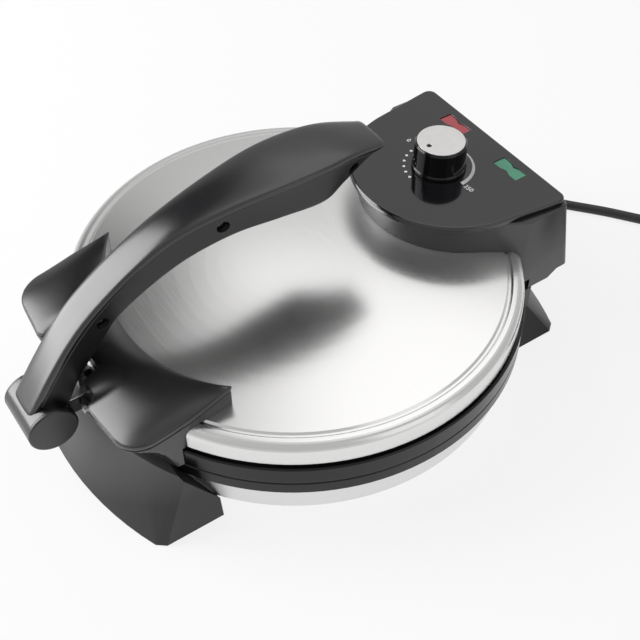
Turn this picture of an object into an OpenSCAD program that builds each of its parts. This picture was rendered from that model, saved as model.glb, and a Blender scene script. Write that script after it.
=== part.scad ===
/* [Lid cover] */
// Radius of the steel lid cover at its skirt
lid_r = 130; // [124:1:136]
// Height of the skirt's lower edge above the table
skirt_z = 56; // [54:0.5:60]
// Height of the straight part of the skirt
skirt_h = 7.4; // [5:0.2:10]
// Radius of the rounded shoulder above the skirt
shoulder_r = 5.5; // [4:0.5:7]
// How far the pressed groove lies inside the skirt
crease_in = 8.5; // [8:0.5:20]
// Depth of the pressed groove
crease_d = 0.9; // [0.5:0.1:1.4]
// Rise of the dome from the groove to the middle
dome_rise = 4.2; // [2:0.2:8]
// Thickness of the steel sheet
steel_t = 0.9; // [0.6:0.1:1.2]

/* [Rings and plates] */
// How far the plastic rings stand out past the skirt
ring_out = 1.9; // [1:0.1:3]
// Height of the lower ring's visible band
base_ring_h = 7.8; // [6:0.2:10]
// Gap between the two rings when the lid is down
part_gap = 0.6; // [0.4:0.1:1.2]
// Height of the upper ring's visible band
lid_ring_h = 11.1; // [9:0.1:11.5]
// How far the rim of each cooking plate lies inside the skirt
plate_in = 12; // [11:0.5:20]
// Thickness of each cooking plate
plate_t = 8; // [6:0.5:9]
// Gap between the closed cooking plates
bake_gap = 1.4; // [1:0.1:3]
// How far the heating element's loop lies inside the plate's rim
heater_in = 38; // [28:1:58]
// Diameter of the heating element's tube
heater_d = 7; // [6:0.5:8]
// How far the plate posts stand inside the plate's rim
post_in = 20; // [14:1:26]
// Diameter of a plate post
post_d = 8; // [7:0.5:10]

/* [Base pan] */
// Clearance of the steel pan above the table
pan_z = 12.3; // [10:0.1:15]
// How far the pan's upper edge lies inside the lid's skirt
pan_in = 1; // [0.4:0.1:1.6]
// How much the pan narrows towards its lower corner
pan_taper = 1.8; // [1:0.2:5]
// Radius of the pan's lower corner
pan_corner_r = 4; // [2:0.5:6]

/* [Feet] */
// Half width of the front foot at the table
front_foot_w = 81.5; // [76:0.5:84]
// Half width of the front foot at its upper edge
front_foot_top_w = 75; // [72:0.5:76]
// Half width of the rear foot at the table
rear_foot_w = 79; // [76:0.5:84]
// Half width of the rear foot at its upper edge, and of the rear housing
rear_foot_top_w = 65.8; // [63:0.2:68]
// How far the feet reach past the lid's skirt at the table
foot_out = 25; // [18:0.5:27]
// Radius of the foot's curved front at the table
foot_sweep_r = 200; // [160:5:260]
// How far the front foot's upper edge stands out past the plastic rings
foot_top_out = 6.6; // [4:0.2:10]
// Height of the front foot's upper edge
foot_top_z = 39.5; // [37:0.5:41]
// Height of the front foot at its two ends
foot_end_z = 14; // [10:0.5:20]
// Wall thickness of the plastic feet
foot_wall = 3; // [2:0.5:4]
// Height of the rear foot's upper edge
rear_foot_z = 17; // [14:0.5:20]
// How far the rubber pads stand out below the feet
pad_out = 0.6; // [0.4:0.1:3]
// Diameter of a rubber pad
pad_d = 13; // [10:0.5:15]

/* [Hinge] */
// Distance of the hinge axis behind the plastic rings
hinge_out = 7.1; // [6.6:0.1:9]
// Height of the hinge axis above the skirt's lower edge
hinge_up = 0; // [-1:0.5:2]
// Radius of the hinge eyes
eye_r = 6.5; // [5.5:0.25:7]
// Diameter of the hinge pins
hinge_pin_d = 6; // [4:0.5:7]
// Distance of each hinge ear from the middle
ear_x = 44; // [42:0.5:46]
// Width of each hinge ear
ear_w = 12; // [8:0.5:14]
// How far the rear housing's back wall lies behind the hinge axis
housing_out = 3; // [1:0.5:5]

/* [Control box] */
// Half width of the control box at its lower edge
box_w = 67; // [65:0.5:69]
// Half width of the control box at its top
box_top_w = 65.4; // [62:0.2:66]
// Rear wall's distance behind the hinge axis at the bottom
box_out = 15; // [13:0.2:17]
// Rear wall's distance behind the hinge axis at the top
box_top_out = 5.6; // [3:0.2:8]
// Radius of the fascia that stands on the lid
fascia_r = 54.5; // [50:0.5:58]
// Middle of the fascia's curve, in front of the hinge axis
fascia_in = 29; // [27:0.5:33]
// Wall thickness of the control box
box_wall = 2.5; // [2:0.25:3]
// Height of the control box above the hinge axis
box_h = 34.5; // [32:0.5:38]
// Thickness of the control panel
panel_t = 3.8; // [3:0.2:5]
// Radius of the panel's curved front
panel_r = 58.8; // [56:0.2:61]
// Middle of the panel's curve, in front of the hinge axis
panel_in = 31.2; // [29:0.2:35]
// Half width of the panel's rear edge
panel_w = 63.4; // [59:0.2:65]
// Rear edge of the panel, behind the hinge axis
panel_out = 5.4; // [2:0.2:6]

/* [Knob and lamps] */
// Distance of the knob's axis in front of the hinge axis
knob_in = 38.2; // [35:0.2:43]
// Radius of the knob at its foot
knob_r = 16.2; // [14:0.2:18]
// Height of the knob
knob_h = 18.4; // [15:0.2:22]
// Radius of the knob's silver disc
disc_r = 14; // [12:0.2:14.5]
// Diameter of the thermostat's shaft
shaft_d = 6; // [5:0.5:7]
// Distance of each lamp lens from the middle
lens_x = 25.5; // [23:0.5:30]
// Distance of the lamp lenses in front of the panel's rear edge
lens_in = 10.8; // [9.4:0.2:14]
// Length of a lamp lens
lens_l = 19.5; // [16:0.5:22]
// Width of a lamp lens at its ends
lens_w = 8.4; // [6:0.2:9]
// Width of a lamp lens at its waist
lens_waist = 5.2; // [4:0.2:6]

/* [Front collar] */
// How far the collar's curved rear edge lies inside the skirt
collar_in = 24; // [20:0.5:28]
// Half width of the collar at its pointed tips
tip_x = 68.3; // [64:0.5:70]
// Half width of the collar at its front lobes
lobe_x = 69.8; // [68:0.2:72]
// How far the lobes reach in front of the collar's lower edge
lobe_out = 8.9; // [7:0.1:12]
// Half width of the recess between the lobes
recess_x = 26; // [22:0.5:30]
// Half width of the notch that the lever rests in
notch_x = 13; // [12.5:0.5:16]
// Distance of the collar's lower edge outside the plastic rings
collar_out = 3.7; // [2.6:0.1:5]
// Height of the collar's lower edge above the upper ring's
collar_lift = 0.6; // [0:0.1:2]
// Height of the collar's top at its tips above the lid's shoulder
tip_h = 14.1; // [11:0.1:17]
// Thickness of the collar's top plate
top_plate_t = 2.8; // [2:0.1:4]
// Depth of the groove under the collar's top plate
groove_d = 1.4; // [0.8:0.1:2]

/* [Lever] */
// Distance of the lever's pivot in front of the collar's lower edge
pivot_out = 24.4; // [22.5:0.1:27]
// Height of the lever's pivot above the collar's lower edge
pivot_up = 4.4; // [3:0.1:7]
// Radius of the lever's barrel
barrel_r = 13.8; // [13:0.1:14.5]
// Length of the barrel with its two caps
barrel_l = 33; // [31:0.5:36]
// Diameter of the lever's pin
lever_pin_d = 6; // [5:0.5:7]
// Width of the bracket's tongue
tongue_w = 15; // [12:0.5:16]
// Height of the bracket's tongue
tongue_h = 10; // [8:0.5:11]
// Thickness of the lever's upper shell
top_shell_t = 3.6; // [3:0.2:4.5]
// How far the upper shell stands out over the lower one
lip = 0.6; // [0.3:0.1:1]

/* [Cord] */
// Diameter of the mains cord
cord_d = 6.5; // [6:0.25:7.5]
// Radius of the coil at the middle of its turns
coil_r = 36; // [33:0.5:39]

/* [Hidden] */
$fn = 120;

// Fits that several pieces share
seat_gap = 0.2;
run_gap = 0.05;
side_gap = 0.3;
screw_r = 2;

// Radii that follow from the lid's
crease_r = lid_r - crease_in;
plate_r = lid_r - plate_in;
heater_r = plate_r - heater_in;
post_ring_r = plate_r - post_in;
pan_top_r = lid_r - pan_in;
pan_low_r = pan_top_r - pan_taper;
ring_r = lid_r + ring_out;
foot_reach = lid_r + foot_out;
foot_top_r = ring_r + foot_top_out;

// Heights that follow from the closed stack
skirt_lift = 2.2;
lid_ring_top = skirt_z - skirt_lift;
lid_ring_z = lid_ring_top - lid_ring_h;
base_ring_top = lid_ring_z - part_gap;
base_ring_z = base_ring_top - base_ring_h;
shoulder_z = skirt_z + skirt_h + shoulder_r;
dome_z = shoulder_z + dome_rise;
dome_r = (crease_r * crease_r + dome_rise * dome_rise) / (2 * dome_rise);
plate_meet_z = base_ring_top + part_gap / 2;
lower_plate_top = plate_meet_z - bake_gap / 2;
upper_plate_z = plate_meet_z + bake_gap / 2;
ring_bore_r = plate_r + 1.2;
upstand_r = lid_r - steel_t - 0.25;
upstand_z = lid_ring_top + 5.4;
ring_gap_r = ring_r + 0.4;

// Places behind the lid that follow from the hinge
hinge_y = ring_r + hinge_out;
hinge_z = skirt_z + hinge_up;
housing_r = hinge_y + housing_out;
housing_z = base_ring_z - 0.3;
housing_root_y = housing_r - 42;
box_z = hinge_z + box_h;
panel_z = box_z + panel_t;
box_rear = hinge_y + box_out;
box_top_rear = hinge_y + box_top_out;
box_side_y = hinge_y - 23;
box_low_z = hinge_z - 20;
box_rear_low_z = hinge_z - 15;
fascia_y = hinge_y - fascia_in;
panel_y = hinge_y - panel_in;
panel_rear = hinge_y + panel_out;
knob_y = hinge_y - knob_in;
lens_y = panel_rear - lens_in;
ear_play = 1;
ear_reach = ear_x + ear_w / 2 + ear_play;

// Places in front of the lid that follow from its skirt
collar_r = lid_r - collar_in;
skirt_front_r = ring_r + collar_out;
collar_z = lid_ring_z + collar_lift;
lobe_y = skirt_front_r + lobe_out;
tip_y = lobe_y - 61.8;
tip_z = shoulder_z + tip_h;
pivot_y = skirt_front_r + pivot_out;
pivot_z = collar_z + pivot_up;
notch_z = pivot_z + tongue_h / 2 + 1;

// Outer face of the box's leaning rear wall at height z
function rear_y(z) = box_rear - (box_rear - box_top_rear) * (z - box_low_z) / (box_z - box_low_z);

// The part stands with the middle of its outline, from barrel to strain relief, at the origin
cord_exit_y = housing_r + 29;
home_y = (pivot_y + barrel_r - cord_exit_y) / 2;
module at_home() translate([0, home_y, 0]) children();

// Points along an arc, from angle a to angle b
function arc(c, r, a, b, n = 12) = [for (i = [0:n]) let (q = a + (b - a) * i / n) c + r * [cos(q), sin(q)]];
function backwards(list) = [for (i = [len(list) - 1:-1:0]) list[i]];
function mirrored(list) = [for (p = backwards(list)) [-p.x, p.y]];

// A smooth curve through a row of control points, u from 0 to 1
function curve(rows, u) =
    let (n = len(rows) - 1, i = min(floor(u * n), n - 1), t = u * n - i)
    let (a = rows[max(i - 1, 0)], b = rows[i], c = rows[i + 1], d = rows[min(i + 2, n)])
    (2 * b + (c - a) * t + (2 * a - 5 * b + 4 * c - d) * t * t + (3 * b - a - 3 * c + d) * t * t * t) / 2;

// A closed skin over rings that have the same number of points
module skin(rings) {
    n = len(rings[0]);
    m = len(rings);
    sides = [for (j = [0:m - 2], i = [0:n - 1], h = [0, 1])
        let (a = j * n + i, b = j * n + (i + 1) % n)
        h == 0 ? [a, b, b + n] : [a, b + n, a + n]];
    ends = [[for (i = [n - 1:-1:0]) i], [for (i = [0:n - 1]) (m - 1) * n + i]];
    polyhedron([for (r = rings, p = r) p], concat(sides, ends), convexity = 6);
}

// The steel lid's upper outline, d inside its outer face
function cover_skin(d) = concat(
    [[lid_r - d, skirt_z]],
    arc([lid_r - shoulder_r, skirt_z + skirt_h], shoulder_r - d, 0, 90, 8),
    [[crease_r + 1.7, shoulder_z - d], [crease_r + 0.6, shoulder_z - crease_d - d],
     [crease_r - 0.6, shoulder_z - crease_d - d]],
    dome_arc(crease_r - 1.7, -d));

// The dome from radius r to the middle, g above its outer face
function dome_arc(r, g) = arc([0, dome_z - dome_r], dome_r + g, acos(r / dome_r), 90, 14);

// The closed lid as one solid, grown by g, for whatever seats on it
module lid_form(g) rotate_extrude()
    polygon(concat([[0, skirt_z - 30], [ring_gap_r, skirt_z - 30], [ring_gap_r, skirt_z], [lid_r + g, skirt_z]],
        arc([lid_r - shoulder_r, skirt_z + skirt_h], shoulder_r + g, 0, 90, 8), dome_arc(crease_r, g)));

module on_ring(r, count, first = 45)
    for (i = [0:count - 1]) rotate(first + i * 360 / count) translate([r, 0]) children();

// The pan's outline from its upper edge to the middle of its floor, d inside its outer face
function pan_wall(d) = concat([[pan_top_r - d, base_ring_z]],
    arc([pan_low_r - pan_corner_r, pan_z + pan_corner_r], pan_corner_r - d, 0, -90, 6), [[0, pan_z + d]]);

module base_pan() color("lightgray") at_home() difference() {
    rotate_extrude() polygon(concat(pan_wall(0), backwards(pan_wall(steel_t))));
    on_ring(post_ring_r, 4) translate([0, 0, pan_z - 1]) cylinder(r = screw_r + 0.1, h = 4, $fn = 32);
}

module base_ring() color("dimgray") at_home() {
    z = base_ring_z;
    top = base_ring_top;
    web = top - 2.6;
    flange_r = pan_top_r - steel_t - 0.4;
    rotate_extrude() polygon([[ring_r, z], [ring_r, top - 0.8], [ring_r - 0.8, top], [ring_bore_r, top],
        [ring_bore_r, web - 2.4], [ring_bore_r + 2, web - 2.4], [ring_bore_r + 2, web], [flange_r - 1, web],
        [flange_r - 1, z - 2.8], [flange_r, z - 2.8], [flange_r, z]]);
}

// Outline of a foot at the table and at its upper edge
foot_root_y = foot_reach - 55;
function foot_low(w) =
    let (c = [0, foot_reach - foot_sweep_r], a = acos((w - 4) / foot_sweep_r))
    let (side_y = c.y + foot_sweep_r * sin(a) - 5)
    concat([[w, foot_root_y], [w, side_y]], arc(c, foot_sweep_r, a, 180 - a, 16),
        [[-w, side_y], [-w, foot_root_y]]);
function foot_high(w, r) =
    let (a = acos(w / r)) concat([[w, foot_root_y]], arc([0, 0], r, a, 180 - a, 16), [[-w, foot_root_y]]);

module foot_form(w, top_w, top_r, top_z, d) hull() {
    translate([0, 0, pad_out]) linear_extrude(0.5) offset(delta = -d) polygon(foot_low(w), $fn = 32);
    translate([0, 0, top_z - 0.5 - d]) linear_extrude(0.5)
        offset(delta = -d) polygon(foot_high(top_w, top_r));
}

// The front foot's form, whose upper edge falls towards its two ends
module front_foot_form(d) difference() {
    foot_form(front_foot_w, front_foot_top_w, foot_top_r, foot_top_z, d);
    translate([-front_foot_w - 5, foot_root_y, foot_end_z - d]) rotate([90, 0, 90])
        linear_extrude(2 * front_foot_w + 10) polygon([[-5, -7], [25, 35], [25, 60], [-5, 60]]);
}

module pad_places(w) for (s = [-1, 1]) translate([s * (w - 17), foot_reach - 21]) children();

module front_foot() color([0.25, 0.25, 0.26]) at_home() rotate(180) difference() {
    union() {
        difference() {
            front_foot_form(0);
            translate([0, 0, -1]) front_foot_form(foot_wall);
        }
        intersection() {
            front_foot_form(0.1);
            pad_places(front_foot_w) cylinder(d = pad_d + 5, h = foot_top_z, $fn = 40);
        }
    }
    pan_space(base_ring_z - 0.1);
    pad_places(front_foot_w) cylinder(d = pad_d, h = pad_out + 2, $fn = 40);
}

// The room that the pan and the ring take, which the feet stand clear of
module pan_space(z) {
    translate([0, 0, z]) cylinder(r = ring_r + 0.2, h = 60);
    translate([0, 0, pan_z - 0.2])
        cylinder(r1 = pan_low_r + 0.1, r2 = pan_top_r + 0.3, h = base_ring_z - pan_z + 0.3);
}

module rear_foot() color([0.2, 0.2, 0.21]) at_home() difference() {
    union() {
        difference() {
            foot_form(rear_foot_w, rear_foot_top_w, housing_r, rear_foot_z, 0);
            translate([0, 0, -1]) foot_form(rear_foot_w, rear_foot_top_w, housing_r, rear_foot_z, foot_wall);
        }
        intersection() {
            foot_form(rear_foot_w, rear_foot_top_w, housing_r, rear_foot_z, 0.1);
            pad_places(rear_foot_w) cylinder(d = pad_d + 5, h = rear_foot_z, $fn = 40);
        }
    }
    pan_space(base_ring_z);
    pad_places(rear_foot_w) cylinder(d = pad_d, h = pad_out + 2, $fn = 40);
}

module foot_pads() color([0.12, 0.12, 0.12]) at_home() {
    rotate(180) pad_places(front_foot_w) cylinder(d = pad_d - 0.4, h = pad_out + 2 - run_gap, $fn = 40);
    pad_places(rear_foot_w) cylinder(d = pad_d - 0.4, h = pad_out + 2 - run_gap, $fn = 40);
}

gland_x = -22;
gland_z = 24.2;
gland_bore_r = 5.2;

module rear_housing() color([0.22, 0.22, 0.23]) at_home() {
    half_w = rear_foot_top_w;
    floor_z = rear_foot_z + 0.1;
    difference() {
        intersection() {
            union() {
                rotate(55) rotate_extrude(angle = 70) polygon([[housing_r - 2.5, floor_z], [housing_r, floor_z],
                    [housing_r, housing_z], [pan_top_r + 0.4, housing_z], [pan_top_r + 0.4, housing_z - 2.5],
                    [housing_r - 2.5, housing_z - 2.5]]);
                for (s = [-1, 1]) translate([s * (half_w - 1.25), housing_r - 17, (floor_z + housing_z) / 2])
                    cube([2.5, 20, housing_z - floor_z], center = true);
            }
            difference() {
                translate([-half_w, housing_root_y, floor_z]) cube([2 * half_w, 60, housing_z - floor_z]);
                translate([0, 0, floor_z - 1]) cylinder(r = pan_top_r + 0.3, h = 60);
            }
            translate([0, 0, floor_z - 1]) cylinder(r = housing_r, h = 60);
        }
        translate([gland_x, housing_root_y, gland_z]) rotate([-90, 0, 0])
            cylinder(r = gland_bore_r, h = 60, $fn = 40);
    }
    for (s = [-1, 1]) translate([s * ear_x - ear_w / 2, 0, 0]) hinge_ear();
}

// One leaning ear of the rear housing, with the hinge pin's running bore
module hinge_ear() rotate([90, 0, 90]) linear_extrude(ear_w) difference() {
    union() {
        translate([hinge_y, hinge_z]) circle(r = eye_r, $fn = 64);
        polygon([[hinge_y - 12, housing_z - 2], [hinge_y - 5, housing_z - 2],
            [hinge_y + eye_r * cos(20), hinge_z - eye_r * sin(20)],
            [hinge_y - eye_r * cos(30), hinge_z + eye_r * sin(30)]]);
    }
    translate([hinge_y, hinge_z]) circle(r = hinge_pin_d / 2 + run_gap, $fn = 64);
}

module base_screws() color("silver") at_home() on_ring(post_ring_r, 4) {
    translate([0, 0, pan_z - 2.2]) cylinder(r1 = 3.4, r2 = 4, h = 2.2, $fn = 32);
    translate([0, 0, pan_z - 0.1]) cylinder(r = screw_r, h = 10, $fn = 32);
}

// Cooking plate outline with a shallow catch groove near its edge, face up at z = plate_t
function plate_outline() = [[0, 0], [plate_r - 3, 0], [plate_r, 2], [plate_r, plate_t - 1],
    [plate_r - 1, plate_t], [plate_r - 5, plate_t], [plate_r - 5.8, plate_t - 0.8],
    [plate_r - 7.2, plate_t - 0.8],
    [plate_r - 8, plate_t], [0, plate_t]];

module lower_plate() color([0.2, 0.2, 0.2]) at_home()
    translate([0, 0, lower_plate_top - plate_t]) rotate_extrude() polygon(plate_outline());

module upper_plate() color([0.2, 0.2, 0.2]) at_home()
    translate([0, 0, upper_plate_z + plate_t]) mirror([0, 0, 1]) rotate_extrude() polygon(plate_outline());

// Open loop of tube with two cold ends, lying against a plate's back; down is 1 below the plate, -1 above it
module heater(down) {
    gap = 22;
    difference() {
        rotate_extrude() translate([heater_r, 0]) circle(d = heater_d, $fn = 32);
        linear_extrude(20, center = true) polygon([[0, 20], [-gap, 110], [gap, 110]]);
    }
    for (s = [-1, 1]) translate([s * (gap - 3.5), heater_r - 4, 0]) mirror([0, 0, down > 0 ? 1 : 0])
        translate([0, 0, -1]) cylinder(d = heater_d - 2, h = heater_d / 2 + 1.5, $fn = 32);
}

module lower_heater() color([0.45, 0.42, 0.4]) at_home()
    translate([0, 0, lower_plate_top - plate_t - heater_d / 2 - 0.1]) heater(1);

module upper_heater() color([0.45, 0.42, 0.4]) at_home()
    translate([0, 0, upper_plate_z + plate_t + heater_d / 2 + 0.1]) heater(-1);

module lower_posts() color("gray") at_home() on_ring(post_ring_r, 4) difference() {
    translate([0, 0, pan_z + steel_t])
        cylinder(d = post_d, h = lower_plate_top - plate_t - pan_z - steel_t, $fn = 48);
    translate([0, 0, pan_z]) cylinder(r = screw_r, h = 12, $fn = 32);
}

module upper_posts() color("gray") at_home() on_ring(post_ring_r, 6, 0)
    translate([0, 0, upper_plate_z + plate_t])
        cylinder(d = post_d, h = upstand_z - upper_plate_z - plate_t, $fn = 48);

module lower_heat_shield() color("silver") at_home() {
    web = base_ring_top - 2.6;
    wall_r = ring_bore_r + 2.4;
    floor_z = pan_z + 7.7;
    t = 0.8;
    difference() {
        rotate_extrude() polygon([[0, floor_z], [wall_r + t, floor_z], [wall_r + t, web - t - 0.1],
            [pan_top_r - 2.6, web - t - 0.1], [pan_top_r - 2.6, web - 0.1], [wall_r, web - 0.1],
            [wall_r, floor_z + t], [0, floor_z + t]]);
        on_ring(post_ring_r, 4) translate([0, 0, floor_z - 1]) cylinder(r = post_d / 2 + 0.1, h = 4, $fn = 48);
    }
}

module upper_heat_shield() color("silver") at_home()
    translate([0, 0, upstand_z]) rotate_extrude()
        polygon([[0, 0], [upstand_r - 0.2, 0], [upstand_r - 0.2, 0.8], [20, 0.8], [18, 2], [0, 2]]);

module terminal_block() color([0.85, 0.85, 0.8]) at_home()
    translate([-16, plate_r - 22, pan_z + steel_t]) difference() {
        cube([32, 14, 6.4]);
        for (i = [0:2]) translate([6 + 10 * i, 7, 1.5]) cylinder(r = 2.2, h = 6, $fn = 32);
    }

// The fuse lies on the plate's back, inside the heater's loop
module thermal_fuse() color("silver") at_home() rotate(50)
    translate([heater_r - 27.5, 0, upper_plate_z + plate_t + 2.7]) rotate([90, 0, 0])
        cylinder(r = 2.5, h = 18, $fn = 32);

module lid_cover() color([0.86, 0.86, 0.86]) at_home()
    rotate_extrude($fn = 180) polygon(concat(cover_skin(0), backwards(cover_skin(steel_t))));

module lid_ring() color("dimgray") at_home() {
    z = lid_ring_z;
    rotate_extrude() polygon([[ring_bore_r, z], [ring_r, z], [ring_r, lid_ring_top - 0.8],
        [ring_r - 0.8, lid_ring_top], [upstand_r, lid_ring_top], [upstand_r, upstand_z],
        [upstand_r - 2.4, upstand_z],
        [upstand_r - 2.4, z + 2.6], [ring_bore_r + 2, z + 2.6], [ring_bore_r + 2, z + 4.8],
        [ring_bore_r, z + 4.8]]);
}

// Plan of the box and its panel: a round front that runs on in straight lines to two square rear corners
function shield_plan(front_r, front_y, half_w, side_y, rear_y, corner_r) =
    let (c = [0, front_y], s = [half_w, side_y], k = [half_w - corner_r, rear_y - corner_r])
    let (a = atan2(s.y - c.y, s.x - c.x) - acos(front_r / norm(s - c)))
    concat(arc(c, front_r, -180 - a, a, 24), [s], arc(k, corner_r, 0, 90, 6),
        mirrored(concat([s], arc(k, corner_r, 0, 90, 6))));

// The box's outer form, or with inset its hollow
module box_form(inset) hull() {
    translate([0, 0, box_low_z - inset]) linear_extrude(0.1)
        polygon(shield_plan(fascia_r - inset, fascia_y, box_w - inset, box_side_y, box_rear - inset, 4 - inset));
    translate([0, 0, box_z - 0.1 + inset]) linear_extrude(0.1) polygon(shield_plan(fascia_r - inset, fascia_y,
        box_top_w - inset, box_side_y, box_top_rear - inset, 4 - inset));
}

module control_box() color([0.27, 0.27, 0.28]) at_home() difference() {
    box_form(0);
    box_form(box_wall);
    lid_form(seat_gap);
    below = box_low_z - 16;
    translate([0, 0, below]) cylinder(r = hinge_y - 0.1, h = lid_ring_z + 1 - below);
    translate([-box_w - 10, hinge_y, 0]) rotate([90, 0, 90]) linear_extrude(2 * box_w + 20)
        polygon([[-2, below], [-2, box_low_z + 0.6], [5, box_rear_low_z], [31, box_rear_low_z], [31, below]]);
    translate([-ear_reach, hinge_y - 2, below]) cube([2 * ear_reach, 30, hinge_z - 3 - below]);
    for (s = [-1, 1]) translate([s * ear_x - ear_w / 2 - ear_play, hinge_y - 19, below])
        cube([ear_w + 2 * ear_play, 50, hinge_z + 10 - below]);
}

// Where a piece that stands against the rear wall's inside ends at height z
function wall_y(z) = rear_y(z) - box_wall - 0.4;

// Carrier of the lid's four hinge eyes, standing against the box's rear wall
module hinge_frame() color([0.5, 0.5, 0.52]) at_home() {
    web_w = 6;
    top_z = hinge_z + 20;
    for (x = [for (s = [-1, 1], k = [-1, 1]) s * ear_x + k * (ear_w / 2 + ear_play + web_w / 2)])
        translate([x - web_w / 2, 0, 0]) rotate([90, 0, 90]) linear_extrude(web_w) difference() {
            union() {
                translate([hinge_y, hinge_z]) circle(r = eye_r, $fn = 64);
                polygon([[hinge_y - eye_r, hinge_z], [hinge_y + eye_r, hinge_z],
                    [wall_y(hinge_z + 5), hinge_z + 5],
                    [wall_y(top_z), top_z], [hinge_y - eye_r, top_z]]);
            }
            translate([hinge_y, hinge_z]) circle(d = hinge_pin_d, $fn = 64);
        }
    reach = ear_reach + web_w;
    translate([-reach, hinge_y - eye_r, top_z]) cube([2 * reach, wall_y(top_z + 3) - hinge_y + eye_r, 3]);
}

module hinge_pins() color("silver") at_home() for (s = [-1, 1])
    translate([s * ear_x - ear_w / 2 - ear_play - 6, hinge_y, hinge_z]) rotate([0, 90, 0])
        cylinder(d = hinge_pin_d, h = ear_w + 2 * ear_play + 12, $fn = 64);

// Plan of a lamp lens, narrower at its waist than at its ends, grown by g
function lens_plan(g) = let (l = lens_l / 2 + g, w = lens_w / 2 + g, n = lens_waist / 2 + g, k = lens_l * 0.2)
    let (edge = [[-l, w], [-k, w], [0, n], [k, w], [l, w]])
    concat(edge, [for (p = backwards(edge)) [p.x, -p.y]]);

module lens_places() for (s = [-1, 1]) translate([s * lens_x, lens_y]) children();

module control_panel() color([0.33, 0.33, 0.34]) at_home() difference() {
    hull() {
        translate([0, 0, box_z]) linear_extrude(panel_t - 1.4)
            polygon(shield_plan(panel_r, panel_y, panel_w, panel_rear - 6, panel_rear, 5));
        translate([0, 0, panel_z - 0.1]) linear_extrude(0.1)
            polygon(shield_plan(panel_r - 1.4, panel_y, panel_w - 1.4, panel_rear - 7, panel_rear - 1.4, 4));
    }
    translate([0, knob_y, box_z - 1]) cylinder(d = shaft_d + 2 * run_gap, h = panel_t + 2, $fn = 48);
    lens_places() translate([0, 0, box_z - 1]) linear_extrude(panel_t + 2) polygon(lens_plan(0.1));
}

// A lamp lens: a clear bar a little below the panel's face, on a flange behind the panel
module lens() translate([0, 0, box_z - 2]) {
    linear_extrude(panel_t + 1.4) polygon(lens_plan(0));
    linear_extrude(1.7) square([lens_l + 3, lens_w + 2], center = true);
}
module red_lens() color([0.75, 0.2, 0.2]) at_home() translate([-lens_x, lens_y]) lens();
module green_lens() color([0.2, 0.65, 0.45]) at_home() translate([lens_x, lens_y]) lens();

module indicator_lamps() color([0.9, 0.6, 0.4]) at_home() lens_places()
    translate([-7, 0, box_z - 5.2]) rotate([0, 90, 0]) cylinder(r = 3, h = 14, $fn = 32);

module thermostat_body() color([0.8, 0.78, 0.7]) at_home() translate([0, knob_y, 0]) difference() {
    union() {
        translate([0, 0, box_z - 15]) cylinder(r = 16, h = 12, $fn = 64);
        translate([0, 0, box_z - 3.1]) cylinder(r = 5, h = 3, $fn = 48);
    }
    translate([0, 0, box_z - 9]) cylinder(d = shaft_d + 2 * run_gap, h = 10, $fn = 48);
}

module thermostat_shaft() color("silver") at_home() translate([0, knob_y, box_z - 8.5])
    cylinder(d = shaft_d, h = knob_h + panel_t + 8.5 - 4, $fn = 48);

knob_lift = 0.5;

module knob_body() color([0.1, 0.1, 0.1]) at_home() translate([0, knob_y, panel_z + knob_lift]) difference() {
    top = knob_h - knob_lift;
    rotate_extrude() polygon([[0, 0], [knob_r, 0], [knob_r, 1.6], [knob_r - 0.6, 2.6], [knob_r - 1, top - 1.4],
        [disc_r + 0.4, top - 0.3], [disc_r + 0.1, top - 0.3], [disc_r + 0.1, top - 1.2], [0, top - 1.2]]);
    translate([0, 0, -1]) cylinder(d = shaft_d, h = knob_h - 4 - knob_lift + 1.05, $fn = 48);
}

module knob_disc() color([0.88, 0.88, 0.86]) at_home()
    translate([0, knob_y, panel_z + knob_h - 1.15]) difference() {
        cylinder(r = disc_r, h = 1.15);
        translate([0, -8.8, 0.5]) cylinder(r = 1.5, h = 2, $fn = 32);
    }

// Right half of the collar's plan, d inside its outer edge, with y measured forward of the lid's axis
function collar_half(d) = let (r = 17)
    concat([[0, tip_y - 22.7], [tip_x - 6 - d, tip_y - 22.7], [tip_x - d, tip_y], [lobe_x - d, lobe_y - 38.5],
        [lobe_x - 0.2 - d, lobe_y - 26.5]],
    arc([lobe_x - 0.4 - r, lobe_y - 2 - r], r - d, 0, 84, 10),
    arc([recess_x + 6, lobe_y - 5.5], 5.5 - d, 95, 175, 8),
    [[recess_x - 2 + d, skirt_front_r + 2.5 - d], [0, skirt_front_r + 2.5 - d]]);

// The collar's outside where it falls from its lobes to its lower edge, as distance outwards and height
function flare() = [for (p = [[-skirt_front_r, 0], [0, 0], [0.6, 6], [2.2, 13], [5, 18], [9, 21.2], [16, 23.2],
    [44.4, 24], [44.4, 80], [-skirt_front_r, 80]]) [skirt_front_r + p.x, collar_z + p.y]];

// Slope of the collar's top from its tips to its lobes, as distance forward and height, d below the face
function collar_top(d) = [for (p = [[-22.7, 6.5], [0, 0], [11.3, -3.6], [23.3, -6.6], [35.3, -9.3], [47.3, -11.4],
    [67.3, -13.6]]) [tip_y + p.x, tip_z + p.y - d]];

// A layer of the collar, from one depth under its top face to another, inset from its edge
module collar_layer(inset, from, to) intersection() {
    plan = collar_half(inset);
    mirror([0, 1, 0]) linear_extrude(tip_z + 40) polygon(concat(plan, mirrored(plan)));
    mirror([0, 1, 0]) translate([-lobe_x - 20, 0, 0]) rotate([90, 0, 90]) linear_extrude(2 * lobe_x + 40)
        polygon(concat(collar_top(from), backwards(collar_top(to))));
    rotate_extrude() polygon(flare());
}

// A plate on top, a groove under it and the body below
module collar_form() {
    collar_layer(0, 0, top_plate_t);
    collar_layer(groove_d, top_plate_t - 0.5, top_plate_t + 1.5);
    collar_layer(0.4, top_plate_t + 0.9, tip_z - collar_z + 10);
}

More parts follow.
